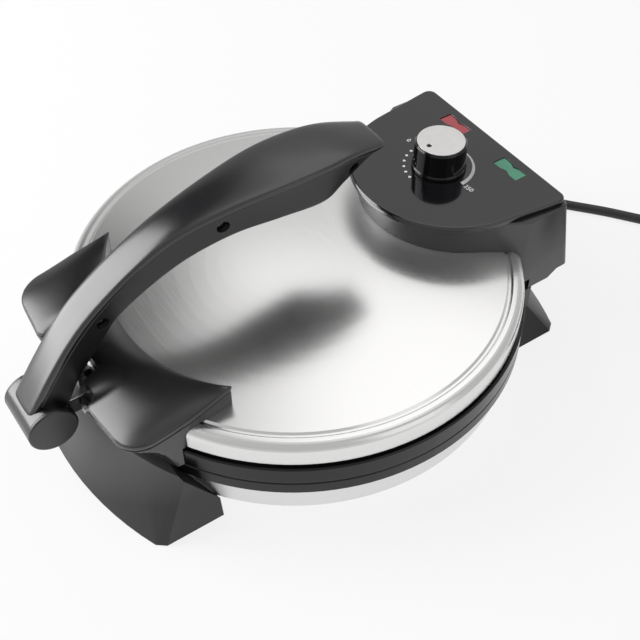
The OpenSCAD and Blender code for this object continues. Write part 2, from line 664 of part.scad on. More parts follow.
module front_collar() color([0.15, 0.15, 0.16]) at_home() {
    rib_top = collar_z + 20;
    difference() {
        collar_form();
        cylinder(r = collar_r, h = tip_z + 100, $fn = 180);
        lid_form(seat_gap);
        translate([-notch_x, -pivot_y, notch_z]) cube([2 * notch_x, pivot_out + 6.6, 60]);
    }
    intersection() {
        collar_form();
        translate([-1.3, -pivot_y, notch_z]) cube([2.6, pivot_out + 6.6, rib_top - notch_z]);
        difference() {
            cylinder(r = pivot_y, h = tip_z + 100);
            lid_form(seat_gap);
        }
    }
}

// Bracket on the collar's front wall whose tongue carries the lever
module lever_bracket() color([0.12, 0.12, 0.12]) at_home() difference() {
    union() {
        rotate([90, 0, 90]) translate([0, 0, -tongue_w / 2]) linear_extrude(tongue_w) union() {
            translate([-pivot_y, pivot_z]) circle(r = barrel_r - 3.2, $fn = 64);
            polygon([[-pivot_y, pivot_z - tongue_h / 2], [5.6 - skirt_front_r, collar_z + 0.4],
                [5.6 - skirt_front_r, pivot_z + tongue_h / 2], [-pivot_y, pivot_z + tongue_h / 2]]);
        }
        translate([-recess_x + 11, -skirt_front_r - 4, collar_z + 0.4])
            cube([2 * recess_x - 22, 14, pivot_z + tongue_h / 2 - collar_z - 0.4]);
    }
    translate([0, 0, -0.05]) rotate_extrude() polygon([for (p = flare()) [p.x + (p.x > 0 ? 0.1 : 0), p.y]]);
    translate([-tongue_w, -pivot_y, pivot_z]) rotate([0, 90, 0])
        cylinder(d = lever_pin_d + 0.04, h = 2 * tongue_w, $fn = 64);
    bracket_screw_places() cylinder(r = 1.6, h = 30, center = true, $fn = 32);
}

module bracket_screw_places() for (s = [-1, 1])
    translate([s * (recess_x - 14.5), -skirt_front_r - 4, pivot_z]) rotate([-90, 0, 0]) children();

module bracket_screws() color("silver") at_home() bracket_screw_places() {
    translate([0, 0, -1.8]) cylinder(r = 2.8, h = 1.8, $fn = 32);
    translate([0, 0, -0.1]) cylinder(r = 1.6, h = 3.6, $fn = 32);
}

module lever_pin() color("silver") at_home() translate([-barrel_l / 2 + 2, -pivot_y, pivot_z]) rotate([0, 90, 0])
    cylinder(d = lever_pin_d, h = barrel_l - 4, $fn = 64);

// The barrel's slot opens to the rear and below, where the tongue swings through
module lever_barrel() color([0.25, 0.25, 0.25]) at_home() translate([0, -pivot_y, pivot_z]) rotate([90, 0, 90]) {
    half = barrel_l / 2 - 2;
    slot = tongue_w + 2 * side_gap;
    difference() {
        translate([0, 0, -half]) cylinder(r = barrel_r, h = 2 * half);
        translate([0, 0, -slot / 2]) {
            cylinder(r = barrel_r - 2.8, h = slot, $fn = 64);
            linear_extrude(slot) polygon(concat([[0, 0]], arc([0, 0], 30, -142, 34, 16)));
        }
        cylinder(d = lever_pin_d + 2 * run_gap, h = barrel_l, center = true, $fn = 64);
    }
}

module barrel_caps() color([0.3, 0.3, 0.3]) at_home() for (s = [-1, 1])
    translate([0, -pivot_y, pivot_z]) rotate([0, 90 * s, 0]) translate([0, 0, barrel_l / 2 - 2])
        rotate_extrude() polygon([[0, 0], [barrel_r, 0], [barrel_r, 1.2], [barrel_r - 0.8, 2], [0, 2]]);

// The lever's side view from its barrel to its tip, measured from the pivot: the upper edge forward of
// the pivot and above it, the lower edge likewise, the half width, and the rise of its rounded top
lever_rows = [
    [-9, 10.3, 13, 4.3, 10.7, 0.2], [4.6, 29.3, 22.5, 20.8, 10.7, 0.2], [20, 48.3, 35.7, 35.8, 10.6, 0.2],
    [35.5, 62.7, 48, 49.4, 10.5, 0.2], [59.5, 78.6, 67, 60.1, 10.6, 0.3], [83.5, 89.4, 90, 69.3, 11.6, 0.6],
    [112.9, 95.9, 116, 75.7, 15.2, 1], [142.9, 99.3, 142, 76.7, 19, 1.4], [167.9, 99.7, 167.4, 75.1, 19.4, 1.5],
    [188, 98.3, 182, 80.1, 17, 1.3], [210.5, 92.6, 207, 90.6, 12.7, 0.6]
];

// One section of the lever at u, from points given across it and down from its upper edge
function lever_ring(u, section) =
    let (r = curve(lever_rows, u), a = [r[0], r[1]], b = [r[2], r[3]], down = (b - a) / norm(b - a))
    [for (p = section(r[4], norm(b - a), r[5])) [p.x, a.x + down.x * p.y, a.y + down.y * p.y]];

upper_section = function (w, depth, crown) [
    [-w, top_shell_t], [-w, 1.1], [-w + 0.9, 0.2], [-w * 0.55, -crown * 0.7], [0, -crown],
    [w * 0.55, -crown * 0.7], [w - 0.9, 0.2], [w, 1.1], [w, top_shell_t]];
lower_section = function (w, depth, crown)
    let (top = top_shell_t + 0.1, edge = min(2.6, (depth - top) * 0.4), v = w - lip, foot = v - 1)
    [[-v, top], [v, top], [foot, depth - edge], [foot - edge * 0.3, depth - edge * 0.3], [foot - edge, depth],
     [-foot + edge, depth], [-foot + edge * 0.3, depth - edge * 0.3], [-foot, depth - edge]];

module lever_shell(section, first, last, steps) translate([0, -pivot_y, pivot_z]) skin(
    [for (i = [0:steps]) let (ring = lever_ring(first + (last - first) * i / steps, section)) backwards(ring)]);

module lever_upper_shell() color([0.36, 0.36, 0.37]) at_home() difference() {
    lever_shell(upper_section, 0, 1, 56);
    barrel_space();
}

module lever_lower_shell() color([0.14, 0.14, 0.14]) at_home() difference() {
    lever_shell(lower_section, 0, 0.985, 56);
    barrel_space();
    translate([-tongue_w / 2 - side_gap, -pivot_y - 4, pivot_z - 20])
        cube([tongue_w + 2 * side_gap, 40, 20 + tongue_h / 2 + 1.8]);
    lever_screw_places() {
        translate([0, 0, -6]) cylinder(r = 2.9, h = 20, $fn = 32);
        translate([0, 0, -13]) cylinder(r = 1.3, h = 12, $fn = 32);
    }
}

module barrel_space() translate([-barrel_l, -pivot_y, pivot_z]) rotate([0, 90, 0])
    cylinder(r = barrel_r + run_gap, h = 2 * barrel_l);

// Screw recesses in the lever's right side: place along the side view, and half width there
lever_screw_spots = [[39.5, 51.5, 9.2], [109.5, 84.6, 13.6], [188.4, 87.4, 15.4]];

module lever_screw_places() for (p = lever_screw_spots)
    translate([p[2], -pivot_y + p[0], pivot_z + p[1]]) rotate([0, 90, 0]) children();

module lever_screws() color("silver") at_home() lever_screw_places() {
    translate([0, 0, -5.9]) cylinder(r = 2.5, h = 1.6, $fn = 32);
    translate([0, 0, -12]) cylinder(r = 1.3, h = 6.5, $fn = 32);
}

// The cord's strain relief: a flange in the housing wall and a tapered boot
module cord_gland() color([0.08, 0.08, 0.08]) at_home() translate([gland_x, 0, gland_z]) rotate([-90, 0, 0]) {
    wall_y = sqrt(housing_r * housing_r - pow(abs(gland_x) + 7, 2));
    neck = gland_bore_r - 0.1;
    rotate_extrude($fn = 40) polygon([[0, wall_y - 6], [7, wall_y - 6], [7, wall_y - 3], [neck, wall_y - 3],
        [neck, housing_r + 2], [6.2, housing_r + 2], [6.2, housing_r + 6], [cord_d / 2 + 1, cord_exit_y],
        [0, cord_exit_y]]);
}

coil_x = 107;
coil_y = 258;
plug_x = 147;
plug_y = 224;
plug_z = 15;
lead_route = [[gland_x, cord_exit_y + 0.05, gland_z], [gland_x, 174, gland_z], [-22, 180, 23], [-22, 187, 19.8],
    [-20.5, 196, 13.4], [-17.5, 204, 7.3], [-13, 211, 4.3], [-8, 217, 3.4], [2, 225.5, 3.4], [19, 240, 3.4],
    [37.5, 254, 3.4], [53, 266, 3.4], [68, 277.6, 3.4], [82.5, 289, 3.4]];
tail_route = [[146.4, 256, 9.8], [146.6, 250, 10.3], [147, 243, 11.6], [147, 236, 13.7], [147, 230, 14.9],
    [147, 227, 15], [147, 224.05, 15]];

function unit(v) = v / norm(v);
function route_ring(route, i, r, sides) =
    let (n = len(route) - 1, t = unit(route[min(i + 1, n)] - route[max(i - 1, 0)]))
    let (side = unit(cross(t, [0, 0, 1])), up = cross(side, t))
    [for (k = [0:sides - 1]) let (a = 360 * k / sides) route[i] + r * (cos(a) * side + sin(a) * up)];

module tube(route, d) skin([for (i = [0:len(route) - 1]) route_ring(route, i, d / 2, 10)]);

module cord_lead() color([0.1, 0.1, 0.1]) at_home() tube(lead_route, cord_d);
module cord_tail() color([0.1, 0.1, 0.1]) at_home() tube(tail_route, cord_d);

module cord_coil() color([0.1, 0.1, 0.1]) at_home() translate([coil_x, coil_y]) rotate_extrude($fn = 96)
    translate([coil_r - cord_d, 0]) square([2 * cord_d, 2 * cord_d]);

// A moulded three-pin plug lying on its flat side beside the coil
module plug_body() color([0.09, 0.09, 0.09]) at_home()
    translate([plug_x, plug_y, plug_z]) rotate([90, 0, 0]) hull() {
        cylinder(r = cord_d / 2 + 1.6, h = 4, $fn = 32);
        translate([0, 0, 26]) linear_extrude(14) plug_face();
    }
module plug_face() {
    for (s = [-1, 1]) translate([s * 11, -plug_z + 7]) circle(r = 7, $fn = 32);
    translate([0, 12]) circle(r = 8, $fn = 32);
}

module plug_pins() color("silver") at_home() translate([plug_x, plug_y - 40, plug_z]) rotate([90, 0, 0]) {
    for (s = [-1, 1]) translate([s * 9.5, -8, 0]) cylinder(d = 5.1, h = 15, $fn = 32);
    translate([0, 12, 0]) cylinder(d = 7, h = 20, $fn = 32);
}

base_pan();
base_ring();
front_foot();
rear_foot();
rear_housing();
foot_pads();
base_screws();
lower_plate();
lower_heater();
lower_posts();
lower_heat_shield();
terminal_block();
cord_gland();
cord_lead();
cord_coil();
cord_tail();
plug_body();
plug_pins();
lid_cover();
lid_ring();
upper_plate();
upper_heater();
upper_posts();
upper_heat_shield();
thermal_fuse();
hinge_frame();
hinge_pins();
control_box();
control_panel();
red_lens();
green_lens();
indicator_lamps();
thermostat_body();
front_collar();
lever_bracket();
bracket_screws();
lever_pin();
thermostat_shaft();
knob_body();
knob_disc();
lever_barrel();
barrel_caps();
lever_lower_shell();
lever_upper_shell();
lever_screws();
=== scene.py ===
# %% [markdown]
# An electric roti maker, dressed in Blender around its imported CAD frame. The frame gives every piece its
# place: pieces are modelled in metres from the CAD source's sizes, and ride on the CAD body they belong to.
# The finishes and the lights were matched to the photograph.

# %% Load the frame
import math

import bmesh
import bpy
from mathutils import Matrix, Vector


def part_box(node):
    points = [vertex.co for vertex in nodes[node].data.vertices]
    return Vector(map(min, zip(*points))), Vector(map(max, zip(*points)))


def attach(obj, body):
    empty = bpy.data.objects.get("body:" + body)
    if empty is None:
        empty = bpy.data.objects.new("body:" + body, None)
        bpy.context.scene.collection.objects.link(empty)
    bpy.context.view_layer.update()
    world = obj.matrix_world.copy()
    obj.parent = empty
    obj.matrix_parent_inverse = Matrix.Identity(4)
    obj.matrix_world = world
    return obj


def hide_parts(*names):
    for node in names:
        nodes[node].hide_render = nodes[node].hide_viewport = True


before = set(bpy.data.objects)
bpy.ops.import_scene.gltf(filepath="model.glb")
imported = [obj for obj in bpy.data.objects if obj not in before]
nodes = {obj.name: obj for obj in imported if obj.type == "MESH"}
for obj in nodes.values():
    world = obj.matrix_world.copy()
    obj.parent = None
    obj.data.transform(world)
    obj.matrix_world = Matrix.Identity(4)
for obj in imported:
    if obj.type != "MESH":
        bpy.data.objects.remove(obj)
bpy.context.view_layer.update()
scene = bpy.context.scene
MM = 0.001
home_y = (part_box("lid_cover")[0][1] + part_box("lid_cover")[1][1]) / 2 / MM


def place(x, y, z):
    """A point in metres from millimetres measured from the lid's axis."""
    return Vector((x, y + home_y, z)) * MM


print("lid axis lies", round(home_y, 3), "mm behind the origin")

# %% [markdown]
# The camera stands where the photograph was taken. Its place was worked out from the lid's circles, the
# control panel's outline and the feet, so a number here is a measured one. Angles are in radians, the focal
# length is in pixels of a square picture, and the rest is in millimetres, from the lid's axis at the height
# of its skirt.

# %% Camera
azimuth, elevation = 0.979287, 0.823808
distance, focal, offset_x, offset_y = 628.63, 1088.81, -14.008, 23.475
skirt_z, picture_pixels, sensor_width = 56.0, 640, 36
flat = math.cos(elevation)
back = Vector((math.sin(azimuth) * flat, -math.cos(azimuth) * flat, math.sin(elevation)))
right = Vector((math.cos(azimuth), math.sin(azimuth), 0))
up = back.cross(right)
eye = back * distance - right * offset_x - up * offset_y
camera = bpy.data.objects.new("camera", bpy.data.cameras.new("camera"))
scene.collection.objects.link(camera)
camera.data.sensor_width = sensor_width
camera.data.lens = focal / picture_pixels * sensor_width
camera.data.clip_start = 0.01
turn = Matrix((right, up, back)).transposed().to_4x4()
camera.matrix_world = Matrix.Translation(place(eye.x, eye.y, eye.z + skirt_z)) @ turn
scene.camera = camera
print("camera at", [round(v, 4) for v in camera.location], "lens", round(camera.data.lens, 2))

# %% [markdown]
# The mains cord is a fixed length of flexible cable. It leaves the strain relief, bends down to the table,
# runs out of the picture and is wound there in a flat coil two turns high. The lead and the tail repeat the
# points of the CAD source. The turns between them are worked out, inside the ring that stands for them.

# %% Cord route
cord_d = 6.5
coil_x, coil_y = 107.0, 258.0
lead = [(-22, 171.05, 24.2), (-22, 174, 24.2), (-22, 180, 23), (-22, 187, 19.8), (-20.5, 196, 13.4),
        (-17.5, 204, 7.3), (-13, 211, 4.3), (-8, 217, 3.4), (2, 225.5, 3.4), (19, 240, 3.4), (37.5, 254, 3.4),
        (53, 266, 3.4), (68, 277.6, 3.4)]
tail = [(146.6, 250, 10.3), (147, 243, 11.6), (147, 236, 13.7), (147, 230, 14.9), (147, 227, 15),
        (147, 224.05, 15)]
# Each row of the winding gives the degrees turned so far, the turn's radius and its height
wind = [(0, 39.4, 3.4), (288, 39.4, 3.4), (366, 32.7, 3.4), (606, 32.7, 3.4), (679, 32.7, 10.0),
        (914, 32.7, 10.0), (996, 39.4, 10.0), (1208.3, 39.4, 10.0)]
step_degrees, first_angle = 8, 128.3


def eased(stops, t):
    """Values at t from rows of (t, value, value), with smooth steps between them."""
    for a, b in zip(stops, stops[1:]):
        if t <= b[0]:
            u = (t - a[0]) / (b[0] - a[0])
            u = u * u * (3 - 2 * u)
            return [p + (q - p) * u for p, q in zip(a[1:], b[1:])]
    return stops[-1][1:]


turns = []
for step in range(0, int(wind[-1][0]) + 1, step_degrees):
    r, z = eased(wind, step)
    angle = math.radians(first_angle - step)
    turns.append((coil_x + r * math.cos(angle), coil_y + r * math.sin(angle), z))
route = [place(*p) for p in lead + turns + tail]
print("cord has", len(route), "points")

# %% [markdown]
# Shader maths reads best as sums and products, so one small class wraps a socket and adds a Math node for
# each operator. Every finish below is built with it, on Object coordinates, which the export can bake.

# %% A tree of nodes written as expressions
class Value:
    """A number that varies over a surface; + - * on it add Math nodes."""

    def __init__(self, finish, socket):
        self.finish, self.socket = finish, socket

    def op(self, kind, other, flip=False):
        pair = (other, self) if flip else (self, other)
        return self.finish.math(kind, *pair)

    def __add__(self, other):
        return self.op("ADD", other)

    def __sub__(self, other):
        return self.op("SUBTRACT", other)

    def __mul__(self, other):
        return self.op("MULTIPLY", other)

    def __rsub__(self, other):
        return self.op("SUBTRACT", other, True)

    __radd__ = __add__
    __rmul__ = __mul__


class Finish:
    """A material with one Principled shader, and short ways to add what feeds it."""

    def __init__(self, name):
        self.material = bpy.data.materials.new(name)
        self.material.use_nodes = True
        self.tree = self.material.node_tree
        self.shader = self.tree.nodes["Principled BSDF"]
        self.spot = self.node("ShaderNodeTexCoord").outputs["Object"]

    def node(self, kind, settings=None, **values):
        made = self.tree.nodes.new(kind)
        for key, value in (settings or {}).items():
            setattr(made, key, value)
        for key, value in values.items():
            self.feed(made.inputs[key.replace("_", " ")], value)
        return made

    def feed(self, socket, value):
        if isinstance(value, Value):
            value = value.socket
        if isinstance(value, bpy.types.NodeSocket):
            self.tree.links.new(value, socket)
        elif isinstance(value, tuple) and len(value) == 3 and socket.type == "RGBA":
            socket.default_value = (*value, 1)
        else:
            socket.default_value = value

    def math(self, kind, a, b=0.0):
        made = self.node("ShaderNodeMath", {"operation": kind})
        self.feed(made.inputs[0], a)
        self.feed(made.inputs[1], b)
        return Value(self, made.outputs[0])

    def noise(self, scale, detail=2.0, stretch=(1, 1, 1)):
        """Noise whose grains are 1/scale metres across, drawn out where stretch is below 1."""
        across = self.node("ShaderNodeMapping", Vector=self.spot, Scale=tuple(scale * s for s in stretch))
        made = self.node("ShaderNodeTexNoise", Vector=across.outputs[0], Scale=1.0, Detail=detail)
        return Value(self, made.outputs["Fac"])

    def steps(self, value, low, high):
        """0 below low, 1 above high."""
        made = self.node("ShaderNodeMapRange", Value=value, From_Min=low, From_Max=high)
        return Value(self, made.outputs[0])

    def mix(self, factor, a, b):
        made = self.node("ShaderNodeMix", {"data_type": "RGBA"})
        self.feed(made.inputs["Factor"], factor)
        self.feed([s for s in made.inputs if s.name == "A" and s.type == "RGBA"][0], a)
        self.feed([s for s in made.inputs if s.name == "B" and s.type == "RGBA"][0], b)
        return [s for s in made.outputs if s.type == "RGBA"][0]

    def bump(self, height, depth, soften=0.0):
        """Relief from a value of 0 to 1, depth metres deep, over edges rounded to soften metres."""
        made = self.node("ShaderNodeBump", Height=height, Distance=depth, Strength=1.0)
        if soften:
            edge = self.node("ShaderNodeBevel", {"samples": 4}, Radius=soften)
            self.feed(made.inputs["Normal"], edge.outputs[0])
        self.feed(self.shader.inputs["Normal"], made.outputs[0])

    def set(self, **values):
        for key, value in values.items():
            self.feed(self.shader.inputs[key.replace("_", " ")], value)
        return self


def separate(finish):
    made = finish.node("ShaderNodeSeparateXYZ", Vector=finish.spot)
    return [Value(finish, made.outputs[i]) for i in range(3)]


# %% [markdown]
# The lid and the pan are stainless steel with a straight satin brush. The brush is a noise drawn out along
# one direction, a tenth of a millimetre across and centimetres long, and it goes into the roughness and
# the relief. A slow second noise keeps the sheen from looking even. Around the control box the lid is
# duller, which softens the box's reflection.

# %% Brushed steel
haze_rough = 0.32


def brushed(name, colour, rough, along=(0.012, 1, 1), haze=None):
    """Satin steel; haze is the centre of a round spot, and its radii, where the sheen is duller."""
    finish = Finish(name)
    hair = finish.noise(5200, 2, along)
    streak = finish.noise(900, 3, along)
    cloud = finish.noise(14, 2)
    tone = finish.steps(hair * 0.6 + streak * 0.4, 0.3, 0.7)
    light = tuple(min(1, c * 1.02) for c in colour)
    dark = tuple(c * 0.97 for c in colour)
    level = rough + (tone - 0.5) * 0.04 + (cloud - 0.5) * 0.04
    if haze:
        centre, inner, outer = haze
        x, y = separate(finish)[:2]
        dx, dy = x - centre.x, y - centre.y
        away = finish.math("SQRT", dx * dx + dy * dy)
        level = level + (1 - finish.steps(away, inner, outer)) * haze_rough
    finish.set(Base_Color=finish.mix(tone, dark, light), Metallic=1.0, Roughness=level)
    finish.bump(hair * 0.5 + streak * 0.5, 0.000003, 0.0003)
    return finish


steel = brushed("lid_steel", (0.77, 0.765, 0.76), 0.225, haze=(place(0, 110, 70), 0.056, 0.08))
pan_steel = brushed("pan_steel", (0.77, 0.77, 0.775), 0.38, (1, 1, 0.012))

# %% [markdown]
# The mouldings are black plastic from a lightly etched tool: dark, with a sheen that differs from piece to
# piece. The etch is a fine noise in the relief, and the edges are rounded by edge metres in the shading. The
# feet have a painted highlight: their colour is paler at the top of their middle.

# %% Moulded plastics
def moulded(name, colour, rough, etch=0.00001, edge=0.0005, shine=0.5, pale=None, where=None):
    """Plastic with shine as its specular level; where says how far it goes to pale, as a painted highlight.
    """
    finish = Finish(name)
    grain = finish.noise(2600, 3)
    cloud = finish.noise(30, 3)
    if where:
        share = where(finish)
    else:
        speck = finish.steps(finish.noise(900, 1), 0.66, 0.74)
        share = cloud * 0.6 + speck * 0.4
        pale = tuple(c * 1.25 + 0.001 for c in colour)
    finish.set(Base_Color=finish.mix(share, colour, pale), Specular_IOR_Level=shine,
               Roughness=rough + (grain - 0.5) * 0.08 + (cloud - 0.5) * 0.06)
    finish.bump(grain, etch, edge)
    return finish


def painted_top_highlight(finish):
    """Painted highlight: 1 at the top of a foot's middle, falling to 0 towards its lower corners."""
    x, _, z = separate(finish)
    return finish.steps(z - finish.math("ABSOLUTE", x) * 0.5, -0.015, 0.02)


black = moulded("black_moulding", (0.006, 0.006, 0.007), 0.36, 0.000002, shine=0.8)
grip = moulded("grip_moulding", (0.006, 0.006, 0.0072), 0.24, 0.0000015, shine=0.9)
shade = moulded("panel_moulding", (0.006, 0.006, 0.0075), 0.08, 0.0000003, shine=0.85)
ring_black = moulded("ring_moulding", (0.005, 0.005, 0.006), 0.22, 0.000002, shine=0.3)
gloss = moulded("knob_moulding", (0.003, 0.003, 0.0035), 0.12, 0.0000005, 0.0004, shine=0.35)
box_black = moulded("box_moulding", (0.007, 0.007, 0.008), 0.31, 0.000001, shine=0.9)
saddle = moulded("collar_moulding", (0.005, 0.005, 0.006), 0.25, 0.000001, shine=0.9)
# The feet's paler top is a painted highlight.
foot_black = moulded("foot_moulding", (0.005, 0.005, 0.0055), 0.36, 0.000002, shine=0.6,
                     pale=(0.075, 0.074, 0.078), where=painted_top_highlight)
ceramic = moulded("terminal_moulding", (0.62, 0.58, 0.5), 0.6)
rubber = moulded("pad_rubber", (0.02, 0.02, 0.02), 0.75, 0.00003)
sheath = moulded("cord_sheath", (0.017, 0.017, 0.018), 0.42, 0.000006, 0)

# %% [markdown]
# Small metal pieces: zinc on the screws and pins, plain sheet on the heat shields and the strap, die casting
# on the hinge, heat-darkened tube on the elements, and a satin silver foil on the knob's disc. They are too
# small for a brush to show, so a cloudy tone and a fine relief are enough to break up the gleam.

# %% Metals
def metal(name, colour, rough, mottle=0.1):
    finish = Finish(name)
    cloud = finish.noise(160, 3)
    finish.set(Base_Color=finish.mix(cloud, tuple(c * 0.86 for c in colour), colour), Metallic=1.0,
               Roughness=rough + (cloud - 0.5) * mottle)
    finish.bump(finish.noise(3000, 2), 0.000004, 0.0002)
    return finish


zinc = metal("zinc_plate", (0.5, 0.5, 0.52), 0.36)
sheet = metal("shield_sheet", (0.8, 0.8, 0.81), 0.35)
casting = metal("hinge_casting", (0.5, 0.5, 0.52), 0.5)
element = metal("element_tube", (0.16, 0.13, 0.12), 0.45, 0.2)
foil = metal("knob_foil", (0.82, 0.81, 0.8), 0.38)

# %% [markdown]
# The baking plates have a dark non-stick coating with grey flecks. A picture of flecks could be laid on, but
# a fine noise that is cut off at a high level gives them without any file, and just as sharp from close by.

# %% Baking plates
coating = Finish("plate_coating")
fleck = coating.steps(coating.noise(1400, 1), 0.62, 0.7)
coating.set(Base_Color=coating.mix(fleck, (0.022, 0.021, 0.021), (0.075, 0.072, 0.07)),
            Roughness=0.42 + coating.noise(40, 2) * 0.1)
coating.bump(coating.noise(1800, 3), 0.00001, 0.0004)

# %% [markdown]
# The two lamps sit under ribbed clear plastic, one red and one green. Modelled ribs would need hundreds of
# faces on a piece two centimetres long, so a sine wave along the lens makes them, in colour and relief.
# The dial's marks are a flat white paint.

# %% Lenses and lamps
def tinted(name, colour, deep):
    """Ribbed clear plastic over a lamp: the colour is deeper between the ribs."""
    finish = Finish(name)
    x = separate(finish)[0]
    rib = finish.math("ABSOLUTE", finish.math("SINE", x * (math.pi / 0.0011)))
    cloud = finish.noise(500, 2)
    finish.set(Base_Color=finish.mix(rib * 0.7 + cloud * 0.3, deep, colour), Roughness=0.14 + cloud * 0.06,
               Coat_Weight=0.6)
    finish.bump(rib, 0.00006, 0.0002)
    return finish


red = tinted("red_clear", (0.46, 0.045, 0.06), (0.26, 0.012, 0.022))
green = tinted("green_clear", (0.07, 0.38, 0.23), (0.02, 0.2, 0.11))
glass = Finish("lamp_glass")
glass.set(Base_Color=glass.mix(glass.noise(300, 1), (0.9, 0.75, 0.6), (1, 0.9, 0.8)), Roughness=0.1,
          Transmission_Weight=0.8)
paint = Finish("mark_paint")
paint.set(Base_Color=paint.mix(paint.noise(2500, 2), (0.8, 0.8, 0.83), (0.9, 0.9, 0.92)),
          Roughness=0.5 + paint.noise(1500, 1) * 0.1)

# %% [markdown]
# Most pieces keep their CAD mesh and only need a finish, so one table says which node gets which. The many
# screws and pins share the zinc, and a node that isn't named is black moulded plastic.

# %% Give every CAD node its finish
finishes = {
    "lid_cover": steel, "base_pan": pan_steel, "base_ring": ring_black, "lid_ring": ring_black,
    "lower_plate": coating, "upper_plate": coating, "lower_heater": element, "upper_heater": element,
    "lower_heat_shield": sheet, "upper_heat_shield": sheet, "terminal_block": ceramic,
    "thermostat_body": ceramic, "hinge_frame": casting, "foot_pads": rubber, "cord_gland": sheath,
    "plug_body": sheath, "indicator_lamps": glass, "red_lens": red, "green_lens": green,
    "control_panel": shade, "knob_body": gloss, "knob_disc": foil, "lever_upper_shell": grip,
    "lever_barrel": grip,
}
zinc_nodes = ("base_screws", "lower_posts", "upper_posts", "thermal_fuse", "hinge_pins", "bracket_screws",
              "lever_pin", "thermostat_shaft", "lever_screws", "plug_pins")
finishes.update({name: zinc for name in zinc_nodes})
for name, node in nodes.items():
    node.data.materials.clear()
    node.data.materials.append(finishes.get(name, black).material)
print(len(nodes), "CAD nodes painted")

# %% [markdown]
# Some CAD nodes have the right form but come as loose flat triangles. A copy of such a node is merged, its
# flat faces are joined, its sharp edges are bevelled, and it is shaded smooth up to a chosen angle, so that
# round walls look round while real edges stay crisp. The copy then stands for the node.

# %% Smooth copies of CAD nodes
def only(thing):
    bpy.ops.object.select_all(action="DESELECT")
    thing.select_set(True)
    bpy.context.view_layer.objects.active = thing


def finish_piece(thing, finish, body, slot, *stands_for):
    """Gives a piece its finish, its body and the CAD nodes it stands for; slot is not used."""
    thing.data.materials.clear()
    thing.data.materials.append(finish.material)
    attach(thing, body)
    if stands_for:
        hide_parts(*stands_for)
    return thing


def apply(thing, kind, **settings):
    """Adds a modifier with these settings and applies it."""
    made = thing.modifiers.new(kind.title(), kind)
    for key, value in settings.items():
        setattr(made, key, value)
    only(thing)
    bpy.ops.object.modifier_apply(modifier=made.name)


def smooth(thing, degrees=35, level=False):
    """Shades smooth up to an angle; level keeps large flat faces even beside their rounded edges."""
    only(thing)
    bpy.ops.object.shade_smooth_by_angle(angle=math.radians(degrees))
    if level:
        apply(thing, "WEIGHTED_NORMAL", keep_sharp=True, weight=50)


same_place, same_plane = 0.00002, math.radians(0.6)


def rounded_copy(node, name, finish, body, slot, degrees, edge):
    """A smooth copy of a CAD node; edge is the width of its bevels in millimetres."""
    source = nodes[node]
    copy = bpy.data.objects.new(name, source.data.copy())
    scene.collection.objects.link(copy)
    only(copy)
    bpy.ops.object.mode_set(mode="EDIT")
    bpy.ops.mesh.select_all(action="SELECT")
    bpy.ops.mesh.remove_doubles(threshold=same_place)
    bpy.ops.mesh.dissolve_limited(angle_limit=same_plane)
    bpy.ops.mesh.select_all(action="SELECT")
    bpy.ops.mesh.normals_make_consistent(inside=False)
    bpy.ops.object.mode_set(mode="OBJECT")
    apply(copy, "BEVEL", width=edge * MM, segments=2, limit_method="ANGLE", angle_limit=math.radians(degrees))
    smooth(copy, degrees, True)
    print(name, "has", len(copy.data.polygons), "faces")
    return finish_piece(copy, finish, body, slot, node)


rounded_copy("front_foot", "front_foot_shell", foot_black, "base", "black_plastic", 28, 1.2)
rounded_copy("rear_foot", "rear_foot_shell", foot_black, "base", "black_plastic", 28, 1.2)
plug_shell = rounded_copy("plug_body", "plug_shell", sheath, "base", "cord_skin", 40, 0.8)

# %% [markdown]
# The lever is two mouldings, a broad top shell over a narrower lower one, drawn along a curve from the
# barrel to the straight end of the grip. By hand one would extrude a cross-section again and again and
# shape each ring, and that is what this does: a filled circle is moved onto the first section, and each
# extrusion is moved onto the next.

# %% Draw a section along a row of rings
def drawn(name, rings):
    count = len(rings[0])
    bpy.ops.object.select_all(action="DESELECT")
    bpy.ops.mesh.primitive_circle_add(vertices=count, radius=0.001, fill_type="NGON")
    made = bpy.context.object
    made.name = made.data.name = name
    made.matrix_world = Matrix.Identity(4)
    bpy.ops.object.mode_set(mode="EDIT")
    mesh = bmesh.from_edit_mesh(made.data)
    mesh.verts.ensure_lookup_table()
    front = [mesh.verts[i] for i in range(count)]
    for vertex, at in zip(front, rings[0]):
        vertex.co = at
    bmesh.update_edit_mesh(made.data)
    last = rings[0]
    for ring in rings[1:]:
        bpy.ops.mesh.extrude_region_move()
        mesh = bmesh.from_edit_mesh(made.data)
        fresh = [v for v in mesh.verts if v.select]
        for vertex in fresh:
            nearest = min(range(count), key=lambda i: (vertex.co - last[i]).length_squared)
            vertex.co = ring[nearest]
        bmesh.update_edit_mesh(made.data)
        last = ring
    bpy.ops.mesh.select_all(action="SELECT")
    bpy.ops.mesh.normals_make_consistent(inside=False)
    bpy.ops.object.mode_set(mode="OBJECT")
    return made


# %% The lever's side view
pivot = place(0, -160, 47.7)
barrel_r, barrel_gap, past_barrel = 13.8, 0.05, 60
# Each row gives y and z of the top, y and z of the bottom, the half width and the crown, from the pivot
lever_rows = [
    (-9, 10.3, 13, 4.3, 10.7, 0.2), (4.6, 29.3, 22.5, 20.8, 10.7, 0.2), (20, 48.3, 35.7, 35.8, 10.6, 0.2),
    (35.5, 62.7, 48, 49.4, 10.5, 0.2), (59.5, 78.6, 67, 60.1, 10.6, 0.3), (83.5, 89.4, 90, 69.3, 11.6, 0.6),
    (112.9, 95.9, 116, 75.7, 15.2, 1), (142.9, 99.3, 142, 76.7, 19, 1.4),
    (167.9, 99.7, 167.4, 75.1, 19.4, 1.5), (188, 98.3, 182, 80.1, 17, 1.3),
    (210.5, 92.6, 207, 90.6, 12.7, 0.6)]


